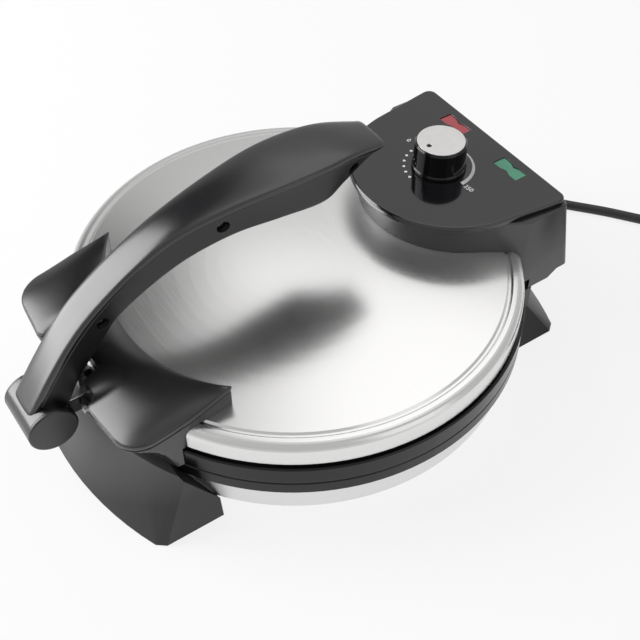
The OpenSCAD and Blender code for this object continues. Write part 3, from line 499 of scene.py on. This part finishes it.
def curve_at(rows, u):
    """The smooth curve through the rows, as in the CAD source, at u from 0 to 1."""
    last = len(rows) - 1
    i = min(int(u * last), last - 1)
    t = u * last - i
    a, b, c, d = rows[max(i - 1, 0)], rows[i], rows[i + 1], rows[min(i + 2, last)]
    return [(2 * q + (r - p) * t + (2 * p - 5 * q + 4 * r - s) * t * t + (3 * q - p - 3 * r + s) * t ** 3) / 2
            for p, q, r, s in zip(a, b, c, d)]


def lever_ring(u, section):
    row = curve_at(lever_rows, u)
    top, bottom = Vector(row[0:2]), Vector(row[2:4])
    depth = (bottom - top).length
    down = (bottom - top) / depth
    ring = []
    for across, drop in section(row[4], depth, row[5]):
        at = top + down * drop
        ring.append(pivot + Vector((across, at.x, at.y)) * MM)
    return ring


def both_sides(half):
    return half + [(-x, y) for x, y in reversed(half) if abs(x) > 0.001]


def top_section(w, depth, crown):
    half = [(-w + 0.5, 3.6), (-w, 3.2), (-w, 1.9), (-w + 0.2, 1.15), (-w + 0.8, 0.45), (-w + 1.8, 0.1),
            (-w * 0.72, -0.5 * crown), (-w * 0.38, -0.85 * crown), (0, -crown)]
    return both_sides(half)


def low_section(w, depth, crown):
    top, v = 3.95, w - 0.6
    edge = min(2.6, (depth - top) * 0.4)
    foot = v - 1.0
    half = [(-v + 0.4, top), (-v, top + min(0.5, edge)), (-foot, depth - edge),
            (-foot + edge * 0.12, depth - edge * 0.5),
            (-foot + edge * 0.5, depth - edge * 0.12), (-foot + edge, depth)]
    return half + [(-x, y) for x, y in reversed(half)]


def cutter(kind, at, size, turn=(0, 0, 0)):
    """A cylinder (radius, depth) or a box (x, y, z) in millimetres, to be taken away and deleted."""
    if kind == "cylinder":
        bpy.ops.mesh.primitive_cylinder_add(vertices=64, radius=size[0] * MM, depth=size[1] * MM, location=at,
                                            rotation=turn)
    else:
        bpy.ops.mesh.primitive_cube_add(size=1, location=at)
        bpy.context.object.scale = Vector(size) * MM
    made = bpy.context.object
    bpy.ops.object.transform_apply(location=True, rotation=True, scale=True)
    return made


def take_away(thing, *tools):
    for tool in tools:
        apply(thing, "BOOLEAN", operation="DIFFERENCE", solver="EXACT", object=tool)
        bpy.data.objects.remove(tool)


def across_cylinder(at, radius, depth):
    return cutter("cylinder", at, (radius, depth), (0, math.pi / 2, 0))


def lever_rings(section, end=1.0):
    return [lever_ring(i / ring_steps * end, section) for i in range(ring_steps + 1)]


ring_steps = 60
top_shell = drawn("lever_top_shell", lever_rings(top_section))
take_away(top_shell, across_cylinder(pivot, barrel_r + barrel_gap, past_barrel))
apply(top_shell, "BEVEL", width=0.3 * MM, segments=2, limit_method="ANGLE", angle_limit=math.radians(50))
smooth(top_shell, 40)
finish_piece(top_shell, grip, "lever", "dark_plastic", "lever_upper_shell")

screw_hole_r, screw_hole_depth, screw_hole_out = 3.6, 20, 4
# Each spot gives y, z and x of a screw, from the pivot
screw_spots = [(39.5, 51.5, 9.2), (109.5, 84.6, 13.6), (188.4, 87.4, 15.4)]
tongue_room, tongue_spot = (15.6, 40, 26.8), (0, 16, -6.6)
low_shell = drawn("lever_low_shell", lever_rings(low_section, 0.985))
screw_holes = [across_cylinder(pivot + Vector((x + screw_hole_out, y, z)) * MM, screw_hole_r,
                               screw_hole_depth) for y, z, x in screw_spots]
take_away(low_shell, across_cylinder(pivot, barrel_r + barrel_gap, past_barrel),
          cutter("box", pivot + Vector(tongue_spot) * MM, tongue_room), *screw_holes)
smooth(low_shell, 40)
finish_piece(low_shell, black, "lever", "black_plastic", "lever_lower_shell")
print("lever shells have", len(top_shell.data.polygons), "and", len(low_shell.data.polygons), "faces")

# %% [markdown]
# The control box is a moulding with a round fascia that stands on the lid. Its outline, a shield with a round
# front and two rear corners, is drawn up from the bottom edge to the top, and what it stands on and turns
# around is then taken away. The panel is a separate plate with a rounded rim, so it is drawn the same way.

# %% The shield-shaped outline
def arc(centre, radius, first, last, count):
    """Points along an arc, in degrees."""
    angles = [math.radians(first + (last - first) * i / count) for i in range(count + 1)]
    return [(centre[0] + radius * math.cos(a), centre[1] + radius * math.sin(a)) for a in angles]


def shield(front_r, front_y, half_w, side_y, rear_y, corner_r, count=40):
    """A round front that runs on in straight lines to two rear corners, as points from left to right."""
    dx, dy = half_w, side_y - front_y
    meet = math.degrees(math.atan2(dy, dx) - math.acos(front_r / math.hypot(dx, dy)))
    corner = arc((half_w - corner_r, rear_y - corner_r), corner_r, 0, 90, 8)
    front = arc((0, front_y), front_r, -180 - meet, meet, count)
    return front + [(half_w, side_y)] + corner + [(-x, y) for x, y in reversed(corner)] + [(-half_w, side_y)]


def ring_at(outline, z):
    return [place(x, y, z) for x, y in outline]


def revolved(name, profile, count=144):
    """A solid of revolution about the lid's axis, from (radius, height) pairs that start and end near it."""
    return drawn(name, [[place(r * math.cos(a), r * math.sin(a), z) for a in
                         (2 * math.pi * i / count for i in range(count))] for r, z in profile])


# %% The closed lid as a form to cut with
lid_r, skirt_low, shoulder_r, crease_r = 130.0, 56.0, 5.5, 121.5
shoulder_top, dome_top = 68.9, 73.1
dome_r = (crease_r ** 2 + (dome_top - shoulder_top) ** 2) / (2 * (dome_top - shoulder_top))
ring_gap_r, seat = 132.3, 0.2


def dome_height(r):
    return dome_top - dome_r + math.sqrt(dome_r ** 2 - r * r)


def lid_cutter():
    shoulder = arc((lid_r - shoulder_r, shoulder_top - shoulder_r), shoulder_r + seat, 0, 90, 8)
    dome = [(r, dome_height(r) + seat) for r in (crease_r, 100, 70, 40, 15, 1)]
    side = [(1, 26), (ring_gap_r, 26), (ring_gap_r, skirt_low), (lid_r + seat, skirt_low)]
    return revolved("lid_form", side + shoulder + dome)


# %% The control box
box_low, box_top, box_wall = 36.0, 90.5, 2.5
box_front_r, box_front_y, box_corner_r = 54.5, 110, 4
box_half_w, box_side_y, box_rear_y = 67, 116, 154
side_lean, rear_lean = 1.6, 9.4
hinge_y, hinge_z, ear_x, ear_room = 139.0, 56.0, 44.0, 7.0


def box_outline(z, inset):
    """The box's outline at height z; its sides and its rear lean in towards the top."""
    share = (z - box_low) / (box_top - box_low)
    half_w = box_half_w - side_lean * share - inset
    rear_y = box_rear_y - rear_lean * share - inset
    return shield(box_front_r - inset, box_front_y, half_w, box_side_y, rear_y, box_corner_r - inset)


def block(x, y, z):
    """A box to cut with, from its lowest and highest x, y and z in millimetres from the lid's axis."""
    low, high = place(x[0], y[0], z[0]), place(x[1], y[1], z[1])
    return cutter("box", (low + high) / 2, (high - low) / MM)


box_rings = ((box_low, 0.6), (box_low + 0.6, 0), (60, 0), (box_top - 0.8, 0), (box_top, 0.8))
box = drawn("control_box_shell", [ring_at(box_outline(z, d), z) for z, d in box_rings])
hollow = drawn("hollow", [ring_at(box_outline(z, box_wall), z) for z in (box_low - 3, box_top - box_wall)])
# Every cutter starts well below the box, and makes room for the rings, the base's rear and the hinge
cut_low, rings_top, rear_top, past_side = 20, 43.7, 41, 77
rings_r, frame_half = hinge_y - 0.1, 51
below = revolved("below", [(1, cut_low), (rings_r, cut_low), (rings_r, rings_top), (1, rings_top)])
rear_line = [(-2, cut_low), (-2, box_low + 0.6), (5, rear_top), (31, rear_top), (31, cut_low)]
under = drawn("under", [[place(x, hinge_y + y, z) for y, z in rear_line] for x in (-past_side, past_side)])
ears = [block((s * ear_x - ear_room, s * ear_x + ear_room), (hinge_y - 19, hinge_y + 31),
              (cut_low, hinge_z + 10)) for s in (-1, 1)]
middle = block((-frame_half, frame_half), (hinge_y - 2, hinge_y + 28), (cut_low, hinge_z - 3))
take_away(box, hollow, lid_cutter(), below, under, middle, *ears)
smooth(box, 30, True)
finish_piece(box, box_black, "lid", "black_plastic", "control_box")
print("control box has", len(box.data.polygons), "faces")

# %% The control panel
panel_top, panel_front_r, panel_front_y, panel_half_w = 94.3, 58.8, 107.8, 63.4
panel_side_y, panel_rear_y, panel_corner_r, corner_share = 138.4, 144.4, 5, 0.7
knob_y, shaft_hole_r = 100.8, 3.05
lens_x, lens_y, lens_half, lens_end, lens_waist = 25.5, 133.6, 9.75, 4.2, 2.6


def lens_outline(side, grow):
    """The hourglass outline of a lamp lens."""
    k, w, n, far = lens_half * 0.4, lens_end + grow, lens_waist + grow, lens_half + grow
    upper = [(-far, w), (-k, w), (0, n), (k, w), (far, w)]
    return [(side * lens_x + x, lens_y + y) for x, y in upper + [(x, -y) for x, y in reversed(upper)]]


def panel_outline(inset):
    """The panel's outline; its corners shrink less than its sides move in, and so stay round."""
    side_y = panel_side_y - inset * corner_share
    corner = panel_corner_r - inset * corner_share
    return shield(panel_front_r - inset, panel_front_y, panel_half_w - inset, side_y, panel_rear_y - inset,
                  corner, 72)


rim = [(0.3, 90.5), (0, 90.9), (0, 92.7), (0.12, 93.3), (0.4, 93.8), (0.85, 94.15), (1.4, panel_top)]
panel = drawn("control_panel_shell", [ring_at(panel_outline(d), z) for d, z in rim])
holes = [drawn("lens_hole", [ring_at(lens_outline(s, 0.15), z) for z in (89, 97)]) for s in (-1, 1)]
take_away(panel, *holes, cutter("cylinder", place(0, knob_y, 92), (shaft_hole_r, 12)))
apply(panel, "BEVEL", width=0.25 * MM, segments=2, limit_method="ANGLE", angle_limit=math.radians(60))
smooth(panel, 40, True)
finish_piece(panel, shade, "lid", "dark_plastic", "control_panel")
print("control panel has", len(panel.data.polygons), "faces")

# %% [markdown]
# The front collar is the most sculpted moulding: a saddle-shaped plate with two lobes over a body that
# flares down to the rings. Cut out of a block it would have facets that its sheen shows, so a grid makes the
# plate, stretched between four edge curves. The walls are extruded down from its border ring by ring:
# rounded rim, edge, groove, and the body that follows the flare.

# %% The collar's four edge curves
collar_r, collar_z, flare_r = 106.0, 43.3, 135.6
tip_z, face_fall, face_curl, face_crown = 83, 0.33, 0.00187, 3.6
tip, side_bulge, lobe_side, lobe_front = (68.3, 82.7), (69.8, 106), (69.6, 118), 144.5
corner_c, corner_r, recess_x, recess_y = (52.4, 125.5), 17.0, 26.0, 138.1
across_count, along_count = 96, 36


def spaced(points, count):
    """The same line with its points at even distances."""
    lengths = [0.0]
    for a, b in zip(points, points[1:]):
        lengths.append(lengths[-1] + math.dist(a, b))
    line_points = []
    for i in range(count + 1):
        at = lengths[-1] * i / count
        j = max(k for k in range(len(points) - 1) if lengths[k] <= at + 1e-9)
        u = (at - lengths[j]) / (lengths[j + 1] - lengths[j])
        line_points.append(tuple(p + (q - p) * u for p, q in zip(points[j], points[j + 1])))
    return line_points


def mirrored(points):
    return [(-x, y) for x, y in reversed(points)]


rear_half = arc((0, 0), collar_r, 90, math.degrees(math.acos(67.9 / collar_r)), 24) + [tip]
rear_edge = spaced(mirrored(rear_half)[:-1] + rear_half, across_count)
side_edge = spaced([tip, side_bulge, lobe_side] + arc(corner_c, corner_r, 0, 45, 8), along_count)
front_half = [(0, recess_y), (recess_x - 2, recess_y)]
front_half += arc((recess_x + 6, lobe_front - 5.5), 5.5, 175, 95, 8) + arc(corner_c, corner_r, 84, 45, 6)
front_edge = spaced(mirrored(front_half)[:-1] + front_half, across_count)


def collar_plan(i, j):
    """The plate's point in column i from left to right and row j from rear to front."""
    s, t = i / across_count, j / along_count
    left, right = (-side_edge[j][0], side_edge[j][1]), side_edge[j]
    spot = []
    for k in (0, 1):
        along = (1 - t) * rear_edge[i][k] + t * front_edge[i][k]
        across = (1 - s) * left[k] + s * right[k]
        corners = ((1 - t) * ((1 - s) * rear_edge[0][k] + s * rear_edge[-1][k])
                   + t * ((1 - s) * front_edge[0][k] + s * front_edge[-1][k]))
        spot.append(along + across - corners)
    return spot


def collar_face(x, y, s, t):
    """Height of the plate: it falls from the tips to the lobes, and is crowned between its edges."""
    fall = y - tip[1]
    crown = face_crown * 4 * t * (1 - t) * (1 - (2 * s - 1) ** 10)
    return tip_z - face_fall * fall + face_curl * fall * fall + crown


# Each row of the flare gives a height above the collar's foot and how far out it is there
flare = [(0, 0), (6, 1.5), (13, 4.3), (18, 7.4), (21.2, 11), (23.2, 17), (24, 44.4), (60, 44.4)]


def flare_at(z):
    """Radius of the body's outside at height z."""
    for a, b in zip(flare, flare[1:]):
        if z - collar_z <= b[0]:
            return flare_r + a[1] + (b[1] - a[1]) * (z - collar_z - a[0]) / (b[0] - a[0])
    return flare_r + flare[-1][1]


# %% The collar's plate
bpy.ops.object.select_all(action="DESELECT")
bpy.ops.mesh.primitive_grid_add(x_subdivisions=across_count, y_subdivisions=along_count, size=2)
collar = bpy.context.object
collar.name = collar.data.name = "front_collar_shell"
border = {}
for vertex in collar.data.vertices:
    i = round((vertex.co.x + 1) / 2 * across_count)
    j = round((vertex.co.y + 1) / 2 * along_count)
    x, y = collar_plan(i, j)
    z = collar_face(x, y, i / across_count, j / along_count)
    vertex.co = (x, y, z)
    if i in (0, across_count) or j in (0, along_count):
        border[(i, j)] = (x, y, z)
loop = [(i, 0) for i in range(across_count)]
loop += [(across_count, j) for j in range(along_count)]
loop += [(i, along_count) for i in range(across_count, 0, -1)]
loop += [(0, j) for j in range(along_count, 0, -1)]
edge_points = [border[key] for key in loop]
print("collar's plate has", len(loop), "points on its border")


# %% The rings of the collar's walls
def inward(k):
    """The direction from a point of the border into the plate."""
    a, b = edge_points[k - 1], edge_points[(k + 1) % len(loop)]
    dx, dy = b[0] - a[0], b[1] - a[1]
    size = math.hypot(dx, dy)
    return -dy / size, dx / size


inwards = [inward(k) for k in range(len(loop))]
# Each row gives how far a ring of the rim lies inside the border, and how far below it
rims = [(0.22, 0.12), (0, 0.5), (0, 2.3), (0.3, 2.8), (1.5, 2.85), (1.5, 3.6), (0.7, 3.65), (0.4, 3.9)]
rings = []
for inset, drop in [(0.8, 0.0)] + rims:
    ring = []
    for key, (x, y, z), (nx, ny) in zip(loop, edge_points, inwards):
        pull = min(inset, 0.8) if key[1] == 0 else inset
        ring.append((x + nx * pull, y + ny * pull, z - drop))
    rings.append(ring)
wall_steps = 18
for step in range(1, wall_steps + 1):
    ring = []
    for x, y, z in rings[len(rims)]:
        low = z + (collar_z - z) * step / wall_steps
        limit = min(1, flare_at(low) / math.hypot(x, y))
        ring.append((x * limit, y * limit, low))
    rings.append(ring)

# %% Extrude the collar's walls
for vertex in collar.data.vertices:
    spot = tuple(vertex.co)
    nearest = min(range(len(loop)), key=lambda k: math.dist(spot, edge_points[k]))
    if math.dist(spot, edge_points[nearest]) < 0.001:
        vertex.co = rings[0][nearest]
only(collar)
bpy.ops.object.mode_set(mode="EDIT")
bpy.ops.mesh.select_all(action="DESELECT")
bpy.ops.mesh.select_mode(type="EDGE")
bpy.ops.mesh.select_non_manifold()
last = rings[0]
for ring in rings[1:]:
    bpy.ops.mesh.extrude_edges_move()
    mesh = bmesh.from_edit_mesh(collar.data)
    for vertex in [v for v in mesh.verts if v.select]:
        nearest = min(range(len(loop)), key=lambda k: (vertex.co - Vector(last[k])).length_squared)
        vertex.co = ring[nearest]
    bmesh.update_edit_mesh(collar.data)
    last = ring
bpy.ops.mesh.edge_face_add()
bpy.ops.mesh.select_all(action="SELECT")
bpy.ops.mesh.select_mode(type="VERT")
bpy.ops.object.mode_set(mode="OBJECT")
for vertex in collar.data.vertices:
    vertex.co = place(vertex.co.x, -vertex.co.y, vertex.co.z)
only(collar)
bpy.ops.object.mode_set(mode="EDIT")
bpy.ops.mesh.select_all(action="SELECT")
bpy.ops.mesh.normals_make_consistent(inside=False)
bpy.ops.object.mode_set(mode="OBJECT")

# %% Fit the collar to the lid and the lever
# The notch under the lever is cut around a thin rib, which stays standing in its middle
notch_half, rib_half, rib_room = 13, 1.3, 2
notch_front, notch_rear, rib_rear = -162, -129, -129.9
notch_low, rib_top, above = 53.7, 63.3, 110
notch = [block(sorted((s * notch_half, s * rib_half)), (notch_front, notch_rear), (notch_low, above))
         for s in (-1, 1)]
notch.append(block((-rib_room, rib_room), (notch_front, notch_rear), (rib_top, above)))
notch.append(block((-rib_room, rib_room), (rib_rear, notch_rear), (notch_low, 64)))
take_away(collar, lid_cutter(), *notch)
smooth(collar, 38)
finish_piece(collar, saddle, "lid", "black_plastic", "front_collar")
print("collar has", len(collar.data.polygons), "faces")

# %% [markdown]
# Two small pieces finish the moving parts: the dark dot that is set into the knob's disc, and a steel strap
# that covers the bracket's tongue under the lever and turns up against the collar. Both are simple enough to
# be drawn from one outline each, the dot upwards and the strap from side to side.

# %% Knob dot and tongue strap
dot_at, strap_half_w = (0, 92.0), 7.2
dot_rings = [(1.95, 112.06), (1.95, 112.42), (1.8, 112.5), (1.1, 112.4), (0.2, 112.36)]
knob_dot = drawn("knob_dot", [[place(x, y, z) for x, y in arc(dot_at, r, 0, 345, 23)] for r, z in dot_rings])
finish_piece(knob_dot, gloss, "knob", "gloss_black")
strap_line = [(-151, 52.8), (-134, 52.8), (-133.2, 53.3), (-133, 54.2), (-133, 60), (-134, 60), (-134, 54.4),
              (-134.4, 53.8), (-151, 53.8)]
strap = drawn("tongue_strap", [[place(x, y, z) for y, z in strap_line]
                               for x in (-strap_half_w, strap_half_w)])
apply(strap, "BEVEL", width=0.25 * MM, segments=2, limit_method="ANGLE", angle_limit=math.radians(60))
smooth(strap, 40, True)
finish_piece(strap, sheet, "lid", "steel")
print("knob dot and strap have", len(knob_dot.data.polygons), "and", len(strap.data.polygons), "faces")

# %% [markdown]
# The dial's marks are printed in white on the panel: a band that widens towards the hot end, six dots
# towards the cold end, and a plain number at each. A picture on the panel would blur from close by, so each
# mark is a print of its own, a tenth of a millimetre thick.

# %% Dial marks
dial = place(0, knob_y, panel_top)


def round_dial(radius, degrees, height=0.0):
    angle = math.radians(degrees)
    return dial + Vector((radius * math.cos(angle), radius * math.sin(angle), height)) * MM


band, band_steps, band_r = [], 32, 20.4
band_start, band_sweep, narrow_half, widening = 92, 90, 0.4, 0.85
print_low, print_high, print_lift = -0.05, 0.06, 0.02
corners = ((-1, print_low), (-1, print_high), (1, print_high), (1, print_low))
for step in range(band_steps + 1):
    angle = band_start - step * band_sweep / band_steps
    half = narrow_half + widening * step / band_steps
    band.append([round_dial(band_r + s * half, angle, h) for s, h in corners])
finish_piece(drawn("dial_band", band), paint, "lid", "silver_plastic")

dot_count, dot_r, dot_depth = 6, 0.85, 0.12
dot_ring_r, first_dot, between_dots = 20.5, 195, 14.4
for i in range(dot_count):
    bpy.ops.object.select_all(action="DESELECT")
    at = round_dial(dot_ring_r, first_dot + i * between_dots, print_lift)
    bpy.ops.mesh.primitive_cylinder_add(vertices=24, radius=dot_r * MM, depth=dot_depth * MM, location=at)
    dot = bpy.context.object
    dot.name = f"dial_dot_{i}"
    bpy.ops.object.transform_apply(location=True)
    apply(dot, "BEVEL", width=0.04 * MM, segments=2, limit_method="ANGLE")
    finish_piece(dot, paint, "lid", "silver_plastic")


letter_size, letter_swell = 4.2, 0.04


def word(text, name, at, degrees):
    bpy.ops.object.select_all(action="DESELECT")
    bpy.ops.object.text_add(location=at, rotation=(0, 0, math.radians(degrees)))
    made = bpy.context.object
    made.name = name
    made.data.body = text
    made.data.size = letter_size * MM
    made.data.extrude = print_high * MM
    made.data.align_x, made.data.align_y = "CENTER", "CENTER"
    made.data.offset = letter_swell * MM
    bpy.ops.object.convert(target="MESH")
    bpy.ops.object.transform_apply(location=True, rotation=True, scale=True)
    finish_piece(made, paint, "lid", "silver_plastic")


word("250", "dial_number_hot", place(26, 102.1, panel_top + print_lift), 6)
word("0", "dial_number_off", place(-28.7, 100.4, panel_top + print_lift), 0)
print("dial has a band,", dot_count, "dots and 2 numbers")

# %% [markdown]
# The cord is a curve with a round bevel.

# %% The cord as a curve
line = bpy.data.curves.new("mains_cord", "CURVE")
line.dimensions = "3D"
spline = line.splines.new("BEZIER")
spline.bezier_points.add(len(route) - 1)
for point, at in zip(spline.bezier_points, route):
    point.co = at
    point.handle_left_type = point.handle_right_type = "AUTO"
line.bevel_depth = cord_d / 2 * MM
line.bevel_resolution = 5
line.resolution_u = 6
line.use_fill_caps = True
cord = bpy.data.objects.new("mains_cord", line)
scene.collection.objects.link(cord)
line.materials.append(sheath.material)
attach(cord, "base")
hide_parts("cord_lead", "cord_coil", "cord_tail")

# %% [markdown]
# The studio: a pale floor, a strong soft light at the front left, and two weak ones overhead and at the
# right. To the camera the world is white. Mirrors see it pale, brightest above the rear left, with a dark
# patch high on the left that keeps the saddle and the lever's arch black. A dimmer grey world lights the
# rest. A real studio does this with paper, cards and soft boxes, and here two smooth patches in the world
# stand for the cards, because a card would also show in the picture and shade the lights.

# %% What rays see
def maths(tree, kind, a, b):
    """A Math node in this tree, fed by two sockets."""
    made = tree.nodes.new("ShaderNodeMath")
    made.operation = kind
    tree.links.new(a, made.inputs[0])
    tree.links.new(b, made.inputs[1])
    return made.outputs[0]


def only_seen(tree, seen, unseen):
    """One shader for what the camera, mirrors and glass see, and another for the light on everything."""
    rays = tree.nodes.new("ShaderNodeLightPath").outputs
    straight = maths(tree, "MAXIMUM", rays["Is Camera Ray"], rays["Is Transmission Ray"])
    made = tree.nodes.new("ShaderNodeMixShader")
    tree.links.new(maths(tree, "MAXIMUM", straight, rays["Is Glossy Ray"]), made.inputs[0])
    tree.links.new(unseen, made.inputs[1])
    tree.links.new(seen, made.inputs[2])
    return made.outputs[0]


# %% Floor
floor_size, floor_glow = 14, 0.82
bpy.ops.object.select_all(action="DESELECT")
bpy.ops.mesh.primitive_plane_add(size=floor_size, location=(0, 0, 0))
floor = bpy.context.object
floor.name = "floor"
floor_finish = Finish("floor_paper")
floor_finish.set(Base_Color=(0.86, 0.86, 0.86), Roughness=0.9)
tree = floor_finish.tree
glow = tree.nodes.new("ShaderNodeEmission")
glow.inputs["Strength"].default_value = 1.0
blend = tree.nodes.new("ShaderNodeMixShader")
blend.inputs[0].default_value = floor_glow
tree.links.new(floor_finish.shader.outputs[0], blend.inputs[1])
tree.links.new(glow.outputs[0], blend.inputs[2])
output = [n for n in tree.nodes if n.type == "OUTPUT_MATERIAL"][0]
tree.links.new(only_seen(tree, blend.outputs[0], floor_finish.shader.outputs[0]), output.inputs[0])
floor.data.materials.append(floor_finish.material)

# %% World
world = bpy.data.worlds.new("studio")
scene.world = world
world.use_nodes = True
tree = world.node_tree
plain = tree.nodes["Background"]
plain.inputs["Color"].default_value = (0.8, 0.8, 0.8, 1)
plain.inputs["Strength"].default_value = 0.5
bright = tree.nodes.new("ShaderNodeBackground")
tree.links.new(only_seen(tree, bright.outputs[0], plain.outputs[0]), tree.nodes["World Output"].inputs[0])
sky = tree.nodes.new("ShaderNodeTexCoord")


def patch(toward, near, far, outside, inside):
    """A brightness with a soft spot around a direction; near and far are cosines of the angle from it."""
    dot = tree.nodes.new("ShaderNodeVectorMath")
    dot.operation = "DOT_PRODUCT"
    tree.links.new(sky.outputs["Generated"], dot.inputs[0])
    dot.inputs[1].default_value = Vector(toward).normalized()
    level = tree.nodes.new("ShaderNodeMapRange")
    level.interpolation_type = "SMOOTHSTEP"
    tree.links.new(dot.outputs["Value"], level.inputs["Value"])
    for key, value in (("From Min", far), ("From Max", near), ("To Min", outside), ("To Max", inside)):
        level.inputs[key].default_value = value
    return level.outputs[0]


dark_card = patch((-0.62, -0.11, 0.78), 0.965, 0.89, 1.0, 0.03)
glow_above = patch((-0.3, 0.35, 0.89), 0.97, 0.78, 0.74, 1.0)
mirrored_world = maths(tree, "MULTIPLY", dark_card, glow_above)
camera_ray = tree.nodes.new("ShaderNodeLightPath").outputs["Is Camera Ray"]
tree.links.new(maths(tree, "MAXIMUM", mirrored_world, camera_ray), bright.inputs["Strength"])


# %% Lights
def lamp(name, at, size, power, aim=(0, 0, 0.06)):
    light = bpy.data.lights.new(name, "AREA")
    light.shape = "RECTANGLE"
    light.size, light.size_y = size
    light.energy = power
    made = bpy.data.objects.new(name, light)
    scene.collection.objects.link(made)
    away = (Vector(at) - Vector(aim)).normalized()
    made.matrix_world = Matrix.Translation(at) @ away.to_track_quat("Z", "Y").to_matrix().to_4x4()


lamp("overhead", (-0.45, 0.5, 1.5), (1.2, 1.2), 2.5)
lamp("front_left", (-0.87, -0.97, 0.7), (1.02, 1.6), 29)
lamp("right_window", (1.3, 0.4, 0.8), (0.9, 0.9), 1.2)
print("studio has", len(bpy.data.lights), "lights")
scene.view_settings.view_transform = "Standard"
